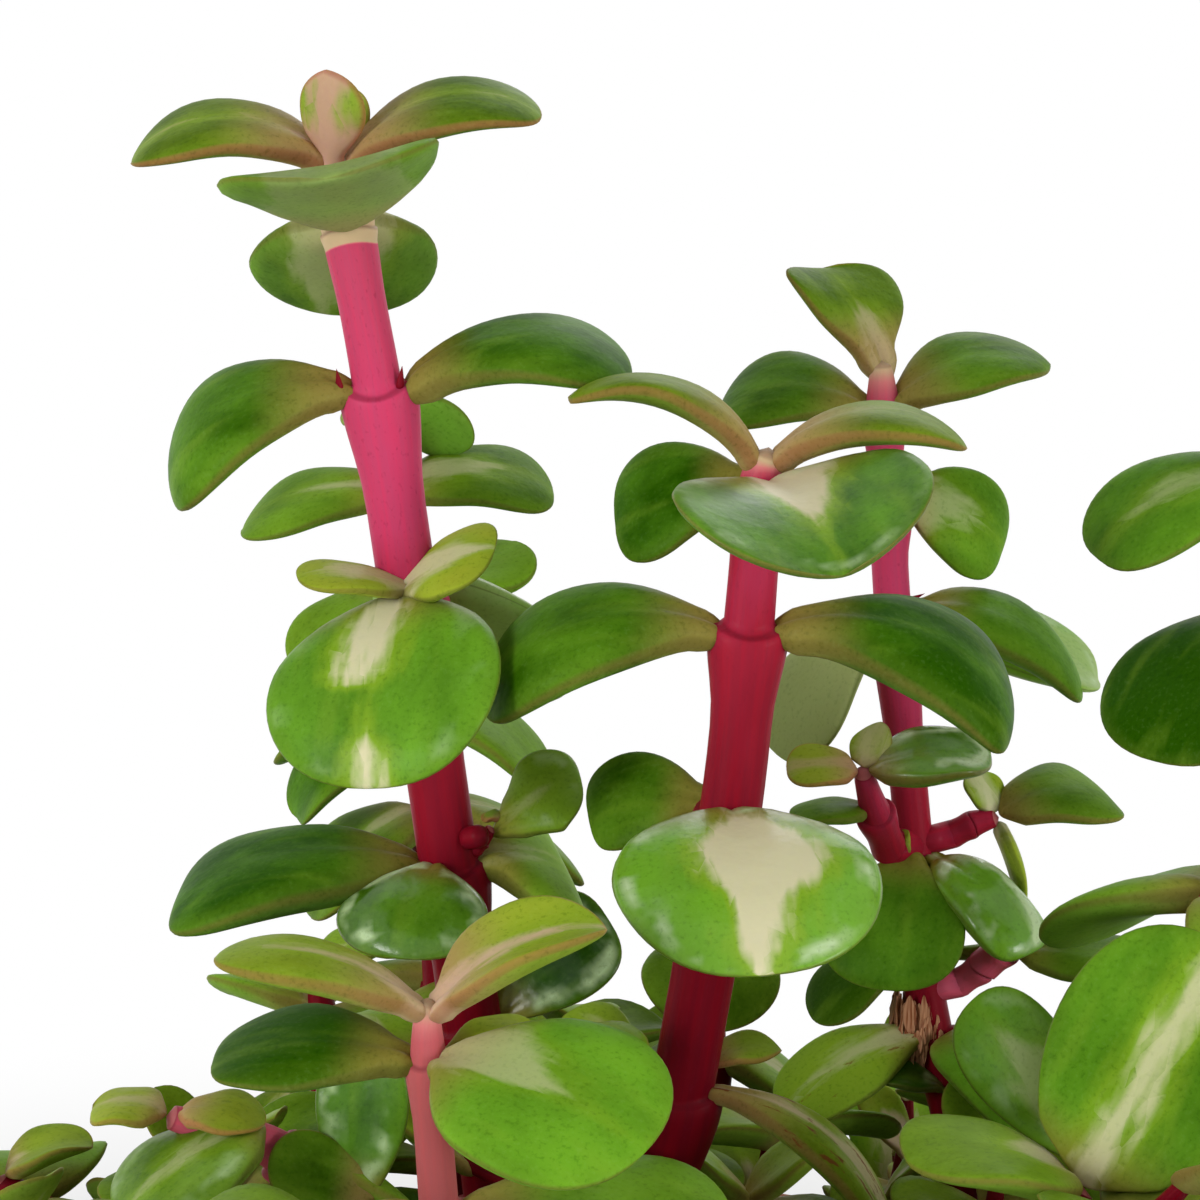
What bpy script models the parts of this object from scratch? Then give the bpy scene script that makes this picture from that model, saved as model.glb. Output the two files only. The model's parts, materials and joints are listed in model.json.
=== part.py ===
"""A potted elephant bush: mid-variegated Portulacaria afra in a plain clay flowerpot.

The plan is in millimetres, with the origin at the middle of the pot's flat underside and +Z up.
The plant is a handful of shoots. A shoot is a stem with joints, and each joint carries a pair of
leaves, a quarter turn round from the pair below. The shoots that stand free have their stem and
every leaf as separate solids. The dense ones are single solids, with the leaves joined to the stem.
"""

import math
from collections import namedtuple

import bmesh
import bpy
import numpy as np
from mathutils import Euler, Vector

MM = 0.001

# Driving dimensions of the pot and its filling, in millimetres.
POT_HEIGHT = 90.0
RIM_RADIUS = 50.0
FOOT_RADIUS = 34.0
WALL = 4.0
FLOOR = 5.0
BAND_HEIGHT = 20.0
BAND_STEP = 2.2
LIP_ROUNDING = 1.2
SOIL_LEVEL = 80.0
SOIL_MOUND = 2.0
DRAIN_HOLES = 4
DRAIN_RADIUS = 4.0
DRAIN_RING = 18.0
TURNED_STEPS = 48

# Fits and growth habits.
CLEARANCE = 0.3
PLANTING_DEPTH = 14.0
JOINT_FLARE = 1.22
JOINT_WAIST = 0.94
TIP_SLIMMING = 0.6
STEM_TAPER = 0.18
YOUNG_JOINTS = 2
LEAF_SHOULDER = 0.70
LEAF_TIP_ROUNDNESS = 0.50
LEAF_THICKNESS_BASE = 0.9
LEAF_THICKNESS_SHARE = 0.11

# name, facing (0 right, 90 back), rise and curl in degrees, length and width, roll in degrees, cup
Leaf = namedtuple("Leaf", "name facing rise curl length width roll cup", defaults=(0.0, 0.0))
# joints from the soil up, the stem's radius at its foot and tip, {joint: leaves}
Shoot = namedtuple("Shoot", "name joints foot_radius tip_radius leaves")


def pair(facing, rise, curl, length, width, cup=0.0):
    """Two opposite leaves alike, the second turned half a turn round the stem."""
    return [
        Leaf("one", facing, rise, curl, length, width, 0.0, cup),
        Leaf("two", facing + 180.0, rise - 4.0, curl + 5.0, 0.94 * length, 0.95 * width, 0.0, cup),
    ]


def whorl(first_facing, bare, joints, length, youth=0.55):
    """Pairs for every joint above the bare ones: each a quarter turn on, erect and small at the top."""
    leaves = {}
    last = len(joints) - 1
    for joint in range(bare, last + 1):
        age = (last - joint) / max(1, last - bare)
        size = length * (youth + (1.0 - youth) * min(1.0, 1.8 * age))
        facing = first_facing + 90.0 * (joint - bare)
        rise = 48.0 - 62.0 * age
        leaves[joint] = pair(facing, rise, 46.0 + 12.0 * age, size, 0.88 * size, 0.12)
    return leaves


TALL = Shoot(
    "tall",
    [
        (-5.0, 5.0, SOIL_LEVEL),
        (-6.5, 4.5, 95.0),
        (-7.5, 4.0, 108.0),
        (-9.0, 3.0, 121.5),
        (-10.4, 2.0, 133.2),
        (-12.7, 0.5, 152.0),
        (-14.6, 0.3, 166.2),
        (-16.4, 0.0, 176.8),
        (-16.9, 0.0, 181.2),
    ],
    2.5,
    1.4,
    {
        8: [
            Leaf("bud_front", -105.0, 80.0, 6.0, 6.4, 4.6, 0.0, 0.25),
            Leaf("bud_back", 84.0, 62.0, -6.0, 4.8, 3.6, 0.0, 0.25),
            Leaf("left", 184.0, 38.0, 82.0, 13.4, 10.5, -8.0, 0.0),
            Leaf("right", -4.0, 50.0, 76.0, 13.2, 10.5, 6.0, 0.0),
        ],
        7: [
            Leaf("front", -92.0, 31.0, 34.0, 12.4, 14.0, 6.0, 0.30),
            Leaf("back", 96.0, -16.0, 40.0, 12.2, 12.6, 12.0, 0.1),
        ],
        6: [
            Leaf("left", 186.0, 6.0, 92.0, 16.4, 12.5, -26.0, -0.1),
            Leaf("right", -6.0, 40.0, 80.0, 15.0, 13.5, 16.0, -0.1),
        ],
        5: [
            Leaf("front", -98.0, -12.0, 54.0, 15.2, 16.6, 0.0, 0.0),
            Leaf("back", 60.0, -22.0, 44.0, 13.2, 13.5, 0.0, 0.0),
            Leaf("axil_left", 178.0, 24.0, 36.0, 6.4, 4.6, -10.0, 0.0),
            Leaf("axil_right", -4.0, 44.0, 30.0, 6.6, 4.8, 10.0, 0.0),
        ],
        4: [
            Leaf("left", 190.0, 10.0, 50.0, 17.2, 12.5, -22.0, 0.0),
            Leaf("right", 14.0, 2.0, 50.0, 10.5, 10.5, 20.0, 0.0),
            Leaf("axil_front", -112.0, -4.0, 44.0, 8.4, 7.8, 0.0, 0.0),
        ],
    },
)

FRONT = Shoot(
    "front",
    [
        (0.5, -2.0, SOIL_LEVEL),
        (2.0, -5.0, 96.0),
        (3.4, -8.0, 110.0),
        (5.4, -10.0, 121.4),
        (8.4, -9.2, 140.2),
        (9.5, -8.4, 152.0),
        (10.2, -8.0, 161.0),
        (10.6, -8.0, 163.2),
    ],
    2.5,
    1.4,
    {
        7: [
            Leaf("left", 178.0, 60.0, 88.0, 13.2, 10.0, -2.0, 0.0),
            Leaf("right", -4.0, 40.0, 76.0, 13.2, 10.5, 4.0, 0.0),
        ],
        6: [
            Leaf("front", -76.0, 2.0, 26.0, 14.0, 15.8, 6.0, 0.16),
            Leaf("back", 126.0, -8.0, 40.0, 12.6, 14.0, 0.0, 0.0),
        ],
        5: [
            Leaf("left", 188.0, 18.0, 90.0, 17.6, 13.0, -28.0, -0.1),
            Leaf("right", -8.0, 10.0, 72.0, 16.8, 14.0, 24.0, -0.1),
        ],
        4: [
            Leaf("front", -90.0, -2.0, 42.0, 16.0, 17.4, 0.0, 0.0),
            Leaf("back", 132.0, 4.0, 50.0, 12.4, 12.0, 0.0, 0.0),
        ],
        3: [
            Leaf("left", 160.0, 56.0, 40.0, 6.8, 5.6, -20.0, 0.0),
            Leaf("right", -20.0, -6.0, 78.0, 16.0, 11.5, 14.0, 0.0),
        ],
    },
)

REAR = Shoot(
    "rear",
    [
        (29.0, 15.0, SOIL_LEVEL),
        (28.4, 16.5, 92.0),
        (27.4, 18.0, 105.0),
        (25.8, 20.0, 114.4),
        (25.0, 21.0, 120.6),
        (24.2, 22.0, 127.6),
        (22.0, 24.0, 145.6),
        (21.4, 24.0, 153.6),
        (20.9, 24.0, 161.4),
        (20.7, 24.0, 164.6),
    ],
    1.75,
    1.2,
    {
        9: [
            Leaf("back", 128.0, 60.0, 30.0, 9.8, 9.4, 0.0, 0.3),
        ],
        8: [
            Leaf("left", 176.0, 32.0, 74.0, 11.4, 9.5, -20.0, 0.0),
            Leaf("right", -4.0, 46.0, 78.0, 13.0, 10.0, 20.0, 0.0),
        ],
        7: [
            Leaf("right", 26.0, -4.0, 40.0, 10.4, 10.8, 36.0, 0.0),
        ],
        6: [
            Leaf("left", 200.0, -40.0, 30.0, 9.6, 9.0, -10.0, 0.0),
            Leaf("right", -14.0, 6.0, 70.0, 13.0, 10.5, 6.0, 0.0),
        ],
        5: [
            Leaf("front", -126.0, -22.0, 44.0, 10.8, 9.6, 0.0, 0.0),
            Leaf("right", -54.0, -8.0, 34.0, 8.8, 8.4, 8.0, 0.0),
        ],
        4: [
            Leaf("left", 192.0, -24.0, 22.0, 8.6, 6.6, -14.0, 0.0),
        ],
        3: [
            Leaf("left", 204.0, -8.0, 36.0, 12.0, 9.5, -20.0, 0.0),
            Leaf("right", -46.0, 14.0, 60.0, 11.6, 11.0, 6.0, 0.1),
        ],
    },
)

NEAR = Shoot(
    "near",
    [
        (-7.0, -24.0, SOIL_LEVEL),
        (-7.6, -27.5, 96.0),
        (-8.6, -30.5, 110.0),
        (-9.4, -31.6, 122.4),
        (-9.9, -32.0, 131.8),
        (-9.9, -32.0, 135.2),
    ],
    2.1,
    1.3,
    {
        5: [
            Leaf("left", 182.0, 34.0, 42.0, 11.6, 9.0, -12.0, 0.0),
            Leaf("right", 2.0, 46.0, 46.0, 10.4, 9.5, 12.0, 0.1),
        ],
        4: [
            Leaf("left", 172.0, 14.0, 34.0, 11.6, 9.0, 10.0, 0.0),
            Leaf("right", -42.0, 8.0, 36.0, 13.8, 13.2, 20.0, 0.0),
        ],
        3: [
            Leaf("left", 214.0, -4.0, 44.0, 13.5, 12.0, 0.0, 0.0),
            Leaf("right", -8.0, 10.0, 26.0, 15.0, 12.0, 10.0, 0.0),
        ],
    },
)

BACK = Shoot(
    "back",
    [
        (-12.0, 27.0, SOIL_LEVEL),
        (-11.6, 25.5, 100.0),
        (-12.0, 24.0, 117.0),
        (-12.6, 24.0, 130.5),
        (-13.6, 24.0, 139.0),
        (-14.4, 24.0, 147.6),
        (-15.2, 24.0, 155.0),
        (-15.6, 24.0, 160.6),
    ],
    1.9,
    1.2,
    {
        7: [
            Leaf("right", 20.0, 30.0, 50.0, 8.5, 7.5),
            Leaf("left", 200.0, 20.0, 50.0, 7.0, 6.0),
        ],
        6: [
            Leaf("left", 182.0, 8.0, 46.0, 12.2, 9.0, -20.0, 0.0),
            Leaf("right", 0.0, 26.0, 58.0, 12.4, 9.5, 20.0, 0.0),
        ],
        5: pair(40.0, -4.0, 40.0, 11.5, 10.0),
        4: pair(168.0, 0.0, 50.0, 12.5, 11.0),
        3: pair(20.0, -6.0, 48.0, 13.5, 12.5),
        2: pair(108.0, 0.0, 50.0, 14.0, 12.5),
    },
)

EDGE = Shoot(
    "edge",
    [
        (24.0, -14.0, SOIL_LEVEL),
        (30.0, -13.0, 98.0),
        (35.5, -10.0, 116.0),
        (40.0, -7.0, 134.0),
        (42.8, -5.0, 151.0),
        (43.8, -5.0, 161.4),
        (44.0, -5.0, 165.0),
    ],
    2.1,
    1.3,
    {
        6: pair(80.0, 46.0, 66.0, 10.5, 8.5, 0.1),
        5: pair(184.0, 16.0, 58.0, 12.5, 10.5),
        4: pair(220.0, -10.0, 46.0, 14.5, 13.5),
        3: pair(120.0, -6.0, 48.0, 15.0, 13.0),
    },
)

LOW_LEFT = Shoot(
    "low_left",
    [
        (-16.0, -8.0, SOIL_LEVEL),
        (-16.5, -11.0, 98.0),
        (-17.0, -12.0, 111.0),
        (-20.6, -14.0, 118.6),
        (-27.2, -16.0, 121.8),
    ],
    2.0,
    1.3,
    {
        4: pair(176.0, 28.0, 36.0, 8.6, 7.6),
        3: pair(214.0, -10.0, 46.0, 12.6, 11.0),
        2: pair(120.0, 0.0, 46.0, 13.0, 11.5),
    },
)

LOW_RIGHT = Shoot(
    "low_right",
    [
        (14.0, -26.0, SOIL_LEVEL),
        (21.0, -29.0, 96.0),
        (27.5, -29.0, 109.0),
        (32.0, -27.0, 117.6),
        (33.8, -26.0, 121.0),
    ],
    2.0,
    1.3,
    {
        4: [
            Leaf("right", 24.0, 58.0, 20.0, 17.0, 13.0, 50.0, 0.2),
            Leaf("left", 196.0, 36.0, 40.0, 12.0, 11.0),
        ],
        3: pair(-70.0, 6.0, 46.0, 14.0, 12.5),
        2: pair(24.0, -4.0, 46.0, 14.5, 13.0),
    },
)

TALL_SPRIG = Shoot(
    "tall_sprig",
    [(-7.6, 1.6, 134.0), (-6.6, 1.4, 135.0), (-5.6, 1.2, 136.6)],
    0.95,
    0.75,
    {2: [Leaf("right", 2.0, 56.0, 40.0, 7.8, 6.8), Leaf("back", 150.0, 50.0, 30.0, 4.5, 3.6)]},
)

REAR_LEFT_SPRIG = Shoot(
    "rear_left_sprig",
    [(21.6, 20.0, 128.8), (20.2, 16.5, 132.6), (19.0, 13.5, 136.4)],
    1.3,
    1.05,
    {
        2: [
            Leaf("right", -6.0, 22.0, 30.0, 9.4, 7.4, 20.0, 0.2),
            Leaf("left", 184.0, 14.0, 26.0, 5.6, 4.8, -20.0, 0.1),
            Leaf("bud", 60.0, 60.0, 20.0, 4.2, 3.2),
        ],
        1: [Leaf("low", 190.0, 14.0, 30.0, 6.4, 5.0)],
    },
)

REAR_RIGHT_SPRIG = Shoot(
    "rear_right_sprig",
    [(26.6, 21.8, 129.4), (28.2, 21.2, 130.4), (29.6, 20.8, 130.9)],
    1.15,
    1.0,
    {
        2: [
            Leaf("right", 4.0, 38.0, 74.0, 10.2, 8.0, 20.0, 0.0),
            Leaf("down", 2.0, -56.0, 30.0, 5.6, 4.6),
            Leaf("bud", 120.0, 60.0, 20.0, 4.4, 3.6),
        ],
    },
)

REAR_BRANCH = Shoot(
    "rear_branch",
    [(28.6, 20.2, 117.0), (30.2, 19.4, 118.6), (32.0, 18.4, 120.8), (33.4, 17.6, 122.8)],
    1.4,
    1.2,
    {
        3: [
            Leaf("right", 6.0, 40.0, 34.0, 6.6, 5.0),
        ],
        2: [
            Leaf("right", -20.0, 10.0, 34.0, 9.0, 7.0, 14.0, 0.0),
            Leaf("back", 120.0, 0.0, 30.0, 8.0, 7.0),
        ],
    },
)

FILL_JOINTS = {
    "left_fill": [
        (-26.0, 8.0, SOIL_LEVEL), (-32.0, 9.0, 91.0), (-37.5, 9.0, 100.0), (-41.5, 9.0, 105.0),
        (-43.5, 9.0, 107.0),
    ],
    "right_fill": [
        (31.0, -2.0, SOIL_LEVEL), (37.0, 1.0, 96.0), (42.0, 2.0, 107.0), (45.0, 3.0, 114.0),
        (46.5, 3.0, 117.5),
    ],
    "back_left_fill": [
        (-18.0, 27.0, SOIL_LEVEL), (-20.0, 33.0, 94.0), (-22.0, 38.0, 103.0), (-23.0, 40.5, 108.5),
        (-23.5, 42.0, 111.0),
    ],
    "back_right_fill": [
        (9.0, 30.0, SOIL_LEVEL), (9.0, 35.0, 94.0), (9.0, 39.0, 106.0), (9.0, 41.0, 114.0),
        (9.0, 42.0, 118.0),
    ],
}
FILL_GIRTH = (1.9, 1.2)
FILL_LEAF = 14.0


def fill_shoot(name, first_facing):
    """A leafy shoot that follows the habit of the plant, on the sides away from the front."""
    joints = FILL_JOINTS[name]
    return Shoot(name, joints, *FILL_GIRTH, whorl(first_facing, 2, joints, FILL_LEAF))


FREE_SHOOTS = [TALL, FRONT, REAR, NEAR]
JOINED_SHOOTS = [
    BACK, EDGE, LOW_LEFT, LOW_RIGHT, TALL_SPRIG, REAR_LEFT_SPRIG, REAR_RIGHT_SPRIG, REAR_BRANCH,
    fill_shoot("left_fill", 10.0), fill_shoot("right_fill", 60.0),
    fill_shoot("back_left_fill", 35.0), fill_shoot("back_right_fill", 0.0),
]


def clear_scene():
    """Removes every object that the file opened with."""
    for obj in list(bpy.data.objects):
        bpy.data.objects.remove(obj)


def new_collection(name):
    made = bpy.data.collections.new(name)
    bpy.context.scene.collection.children.link(made)
    return made


def surface(name, colour, roughness):
    """A Principled material: colour is linear red, green and blue."""
    material = bpy.data.materials.new(name)
    material.use_nodes = True
    shader = material.node_tree.nodes["Principled BSDF"]
    shader.inputs["Base Color"].default_value = (*colour, 1.0)
    shader.inputs["Roughness"].default_value = roughness
    shader.inputs["Metallic"].default_value = 0.0
    return material


def add(name, data, collection, material, parent=None):
    """A named object for this mesh or curve, in its collection and under its parent."""
    obj = bpy.data.objects.new(name, data)
    data.materials.append(material)
    collection.objects.link(obj)
    obj.parent = parent
    return obj


def hide_helper(obj):
    """Marks a cutter or an operand of a join, which isn't itself a piece."""
    obj.hide_render = True
    obj.display_type = "WIRE"


def turned(name, profile, collection, material, parent):
    """A solid turned about Z from a profile of (radius, height) points that ends on the axis."""
    mesh = bpy.data.meshes.new(name)
    points = [(radius * MM, 0.0, height * MM) for radius, height in profile]
    edges = [(i, i + 1) for i in range(len(points) - 1)]
    mesh.from_pydata(points, edges, [])
    obj = add(name, mesh, collection, material, parent)
    screw = obj.modifiers.new("turn", "SCREW")
    screw.axis = "Z"
    screw.steps = screw.render_steps = TURNED_STEPS
    screw.use_merge_vertices = True
    screw.merge_threshold = 0.00005
    screw.use_smooth_shade = True
    return obj


def pot_radius(height):
    """The pot's outer radius under the rim band, on a straight taper from the foot."""
    band_bottom = RIM_RADIUS - BAND_STEP
    return FOOT_RADIUS + (band_bottom - FOOT_RADIUS) * height / POT_HEIGHT


def rounded(corner, before, after):
    """Three profile points that round one corner of the pot."""
    towards = np.subtract(before, corner)
    away = np.subtract(after, corner)
    start = corner + towards * LIP_ROUNDING / np.linalg.norm(towards)
    end = corner + away * LIP_ROUNDING / np.linalg.norm(away)
    middle = (start + end + 2.0 * np.array(corner)) / 4.0
    return [tuple(start), tuple(middle), tuple(end)]


def make_pot(collection, cutters, material, parent):
    """The clay pot: tapered wall, thick rim band, and four drain holes in a solid flat floor."""
    inner_top = (RIM_RADIUS - WALL - BAND_STEP, POT_HEIGHT)
    outer_top = (RIM_RADIUS, POT_HEIGHT)
    band_foot = (RIM_RADIUS - 0.8, POT_HEIGHT - BAND_HEIGHT)
    band_root = (pot_radius(POT_HEIGHT - BAND_HEIGHT), POT_HEIGHT - BAND_HEIGHT - 1.0)
    inner_foot = (pot_radius(FLOOR) - WALL, FLOOR)
    foot = (FOOT_RADIUS, 0.0)
    profile = [(0.0, FLOOR), inner_foot]
    profile += rounded(inner_top, inner_foot, outer_top)
    profile += rounded(outer_top, inner_top, band_foot)
    profile += rounded(band_foot, outer_top, band_root)
    profile += [band_root]
    profile += rounded(foot, band_root, (0.0, 0.0))
    profile += [(0.0, 0.0)]
    pot = turned("clay_pot", profile, collection, material, parent)
    for index in range(DRAIN_HOLES):
        angle = math.tau * (index + 0.5) / DRAIN_HOLES
        bm = bmesh.new()
        bmesh.ops.create_cone(
            bm, cap_ends=True, segments=16, depth=4.0 * FLOOR * MM,
            radius1=DRAIN_RADIUS * MM, radius2=DRAIN_RADIUS * MM,
        )
        mesh = bpy.data.meshes.new(f"drain_{index}")
        bm.to_mesh(mesh)
        bm.free()
        cutter = add(f"drain_{index}", mesh, cutters, material, parent)
        cutter.location = Vector((math.cos(angle), math.sin(angle), 0.0)) * DRAIN_RING * MM
        hide_helper(cutter)
        cut = pot.modifiers.new(f"drain_{index}", "BOOLEAN")
        cut.operation = "DIFFERENCE"
        cut.object = cutter
    return pot


def make_soil(collection, cutters, material, parent, shoots):
    """The potting mix: it fills the pot, is mounded in the middle, and has a socket round each stem."""
    floor = FLOOR + CLEARANCE
    wall_slope = (RIM_RADIUS - BAND_STEP - pot_radius(FLOOR)) / (POT_HEIGHT - FLOOR)
    foot_radius = pot_radius(FLOOR) - WALL - CLEARANCE
    top_radius = foot_radius + wall_slope * (SOIL_LEVEL - FLOOR)
    profile = [
        (0.0, SOIL_LEVEL + SOIL_MOUND),
        (0.35 * top_radius, SOIL_LEVEL + 0.85 * SOIL_MOUND),
        (0.75 * top_radius, SOIL_LEVEL + 0.2 * SOIL_MOUND),
        (top_radius - 0.5, SOIL_LEVEL - 0.6),
        (top_radius - 0.2, SOIL_LEVEL - 1.4),
        (foot_radius, floor),
        (0.0, floor),
    ]
    soil = turned("potting_soil", profile, collection, material, parent)
    for shoot in shoots:
        bm = bmesh.new()
        radius = (shoot.foot_radius + CLEARANCE) * 1.06 * MM
        bmesh.ops.create_cone(
            bm, cap_ends=True, segments=12, depth=2.0 * PLANTING_DEPTH * MM,
            radius1=radius, radius2=radius,
        )
        mesh = bpy.data.meshes.new(f"{shoot.name}_socket")
        bm.to_mesh(mesh)
        bm.free()
        cutter = add(f"{shoot.name}_socket", mesh, cutters, material, parent)
        x, y, z = shoot.joints[0]
        cutter.location = Vector((x, y, z + CLEARANCE)) * MM
        hide_helper(cutter)
        cut = soil.modifiers.new(cutter.name, "BOOLEAN")
        cut.operation = "DIFFERENCE"
        cut.object = cutter
    return soil


def along(points, position):
    """A point of the smooth (Catmull-Rom) curve through the points, at a fractional index."""
    last = len(points) - 1
    i = min(int(position), last - 1)
    t = position - i
    p = [np.array(points[min(max(k, 0), last)], float) for k in (i - 1, i, i + 1, i + 2)]
    return 0.5 * (
        2.0 * p[1]
        + (p[2] - p[0]) * t
        + (2.0 * p[0] - 5.0 * p[1] + 4.0 * p[2] - p[3]) * t**2
        + (3.0 * p[1] - p[0] - 3.0 * p[2] + p[3]) * t**3
    )


def girth(shoot, position):
    """The stem's radius before the joints' flare: a slow taper, then slim young growth on top."""
    last_old = max(1, len(shoot.joints) - 1 - YOUNG_JOINTS)
    if position > last_old:
        return shoot.tip_radius
    return shoot.foot_radius * (1.0 - STEM_TAPER * position / last_old)


def joint_radius(shoot, joint):
    """The stem's radius at a joint: flared, except at the growing tip, which is slim."""
    if joint == len(shoot.joints) - 1:
        return shoot.tip_radius * TIP_SLIMMING
    return girth(shoot, joint) * JOINT_FLARE


def make_stem(shoot, collection, material, parent, planted):
    """A round stem along its joints. Each internode widens upwards and ends in a small step."""
    stations = []
    if planted:
        foot = np.array(shoot.joints[0], float)
        buried = PLANTING_DEPTH - 2.0 * CLEARANCE
        stations.append((foot - (0.0, 0.0, buried), girth(shoot, 0.0)))
        stations.append((foot - (0.0, 0.0, 0.5 * buried), girth(shoot, 0.0)))
    for joint in range(len(shoot.joints) - 1):
        waist = girth(shoot, joint) * (1.0 if joint == 0 and planted else JOINT_WAIST)
        stations.append((along(shoot.joints, joint + 0.02), waist))
        stations.append((along(shoot.joints, joint + 0.98), joint_radius(shoot, joint + 1)))
    ahead = np.subtract(shoot.joints[-1], shoot.joints[-2])
    ahead = ahead / np.linalg.norm(ahead) * stations[-1][1]
    stations.append((np.add(shoot.joints[-1], 0.4 * ahead), 0.7 * stations[-1][1]))
    curve = bpy.data.curves.new(f"{shoot.name}_stem", "CURVE")
    curve.dimensions = "3D"
    curve.bevel_depth = MM
    curve.bevel_resolution = 2
    curve.use_fill_caps = True
    spline = curve.splines.new("POLY")
    spline.points.add(len(stations) - 1)
    for point, (place, radius) in zip(spline.points, stations):
        point.co = (*(place * MM), 1.0)
        point.radius = radius
    return add(f"{shoot.name}_stem", curve, collection, material, parent)


def curve_to_mesh(obj, collection, material):
    """The curve's mesh as an object that a Boolean can use, with its caps welded on."""
    graph = bpy.context.evaluated_depsgraph_get()
    mesh = bpy.data.meshes.new_from_object(obj.evaluated_get(graph))
    bm = bmesh.new()
    bm.from_mesh(mesh)
    bmesh.ops.remove_doubles(bm, verts=bm.verts, dist=0.00001)
    bm.to_mesh(mesh)
    bm.free()
    mesh.materials.clear()
    name, parent, world = obj.name, obj.parent, obj.matrix_world.copy()
    bpy.data.objects.remove(obj)
    made = add(name, mesh, collection, material, parent)
    made.matrix_world = world
    return made


def spine(share, length, curl):
    """A point of the leaf's midrib, an arc in its own XZ plane, and the direction up from it."""
    bend = math.radians(curl)
    turned_by = bend * share
    if abs(bend) < 1e-3:
        return Vector((length * share, 0.0, 0.0)), Vector((0.0, 0.0, 1.0))
    radius = length / bend
    place = Vector((radius * math.sin(turned_by), 0.0, radius * (math.cos(turned_by) - 1.0)))
    return place, Vector((math.sin(turned_by), 0.0, math.cos(turned_by)))


def leaf_outline(share):
    """The leaf's half width as a share of its greatest: a wedge at the base and a round tip."""
    peak = LEAF_SHOULDER / (LEAF_SHOULDER + LEAF_TIP_ROUNDNESS)
    greatest = peak**LEAF_SHOULDER * (1.0 - peak) ** LEAF_TIP_ROUNDNESS
    return share**LEAF_SHOULDER * max(0.0, 1.0 - share) ** LEAF_TIP_ROUNDNESS / greatest


def leaf_mesh(name, leaf, segments, rings):
    """A ball drawn out along the leaf's spine: its poles are the base and the tip."""
    bm = bmesh.new()
    bmesh.ops.create_uvsphere(bm, u_segments=segments, v_segments=rings, radius=1.0)
    thickness = LEAF_THICKNESS_BASE + LEAF_THICKNESS_SHARE * leaf.length
    for vert in bm.verts:
        share = 0.5 + 0.5 * vert.co.z
        angle = math.atan2(vert.co.y, vert.co.x)
        place, up = spine(share, leaf.length, leaf.curl)
        half_width = 0.5 * leaf.width * leaf_outline(share)
        half_height = thickness * math.sqrt(max(0.0, share * (1.0 - share)))
        across = half_width * math.cos(angle)
        lift = half_height * math.sin(angle) + leaf.cup * half_width * math.cos(angle) ** 2
        vert.co = (place + Vector((0.0, across, 0.0)) + up * lift) * MM
    mesh = bpy.data.meshes.new(name)
    bm.to_mesh(mesh)
    bm.free()
    mesh.shade_smooth()
    return mesh


def place_leaf(obj, shoot, joint, leaf, gap):
    """Sets the leaf's base on the side of its stem, turned to its facing, rise and roll."""
    heading = math.radians(leaf.facing)
    outward = Vector((math.cos(heading), math.sin(heading), 0.0))
    reach = joint_radius(shoot, joint) + gap
    obj.location = (Vector(shoot.joints[joint]) + outward * reach) * MM
    obj.rotation_euler = Euler((math.radians(leaf.roll), -math.radians(leaf.rise), heading), "XYZ")


def make_free_shoot(shoot, collection, materials, parent):
    """A stem and its leaves, each a solid of its own, the leaves a hair clear of the stem."""
    make_stem(shoot, collection, materials["stem"], parent, planted=True)
    for joint, leaves in shoot.leaves.items():
        for leaf in leaves:
            name = f"{shoot.name}_leaf_{joint}_{leaf.name}"
            mesh = leaf_mesh(name, leaf, 8, 7)
            obj = add(name, mesh, collection, materials["leaf"], parent)
            place_leaf(obj, shoot, joint, leaf, CLEARANCE)


def make_joined_shoot(shoot, collection, operands, materials, parent, planted):
    """A stem with its leaves grown into it, as one solid."""
    stem = make_stem(shoot, collection, materials["stem"], parent, planted)
    stem = curve_to_mesh(stem, collection, materials["leaf"])
    stem.name = f"{shoot.name}_shoot" if planted else shoot.name
    group = bpy.data.collections.new(f"{shoot.name}_leaves")
    operands.children.link(group)
    for joint, leaves in shoot.leaves.items():
        for leaf in leaves:
            name = f"{shoot.name}_join_{joint}_{leaf.name}"
            obj = add(name, leaf_mesh(name, leaf, 6, 5), group, materials["leaf"], parent)
            place_leaf(obj, shoot, joint, leaf, -joint_radius(shoot, joint))
            hide_helper(obj)
    join = stem.modifiers.new("leaves", "BOOLEAN")
    join.operation = "UNION"
    join.operand_type = "COLLECTION"
    join.collection = group


def main():
    clear_scene()
    collection = new_collection("elephant_bush")
    cutters = new_collection("cutters")
    plant = bpy.data.objects.new("elephant_bush", None)
    collection.objects.link(plant)
    materials = {
        "stem": surface("stem_skin", (0.46, 0.03, 0.09), 0.45),
        "leaf": surface("leaf_skin", (0.10, 0.27, 0.04), 0.40),
        "clay": surface("fired_clay", (0.45, 0.17, 0.08), 0.85),
        "soil": surface("potting_mix", (0.05, 0.03, 0.02), 0.95),
    }
    planted = FREE_SHOOTS + [s for s in JOINED_SHOOTS if s.joints[0][2] == SOIL_LEVEL]
    make_pot(collection, cutters, materials["clay"], plant)
    make_soil(collection, cutters, materials["soil"], plant, planted)
    for shoot in FREE_SHOOTS:
        make_free_shoot(shoot, collection, materials, plant)
    for shoot in JOINED_SHOOTS:
        make_joined_shoot(shoot, collection, cutters, materials, plant, shoot in planted)


main()
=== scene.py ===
"""The looks of a potted elephant bush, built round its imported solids, as a lesson in cells."""

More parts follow.
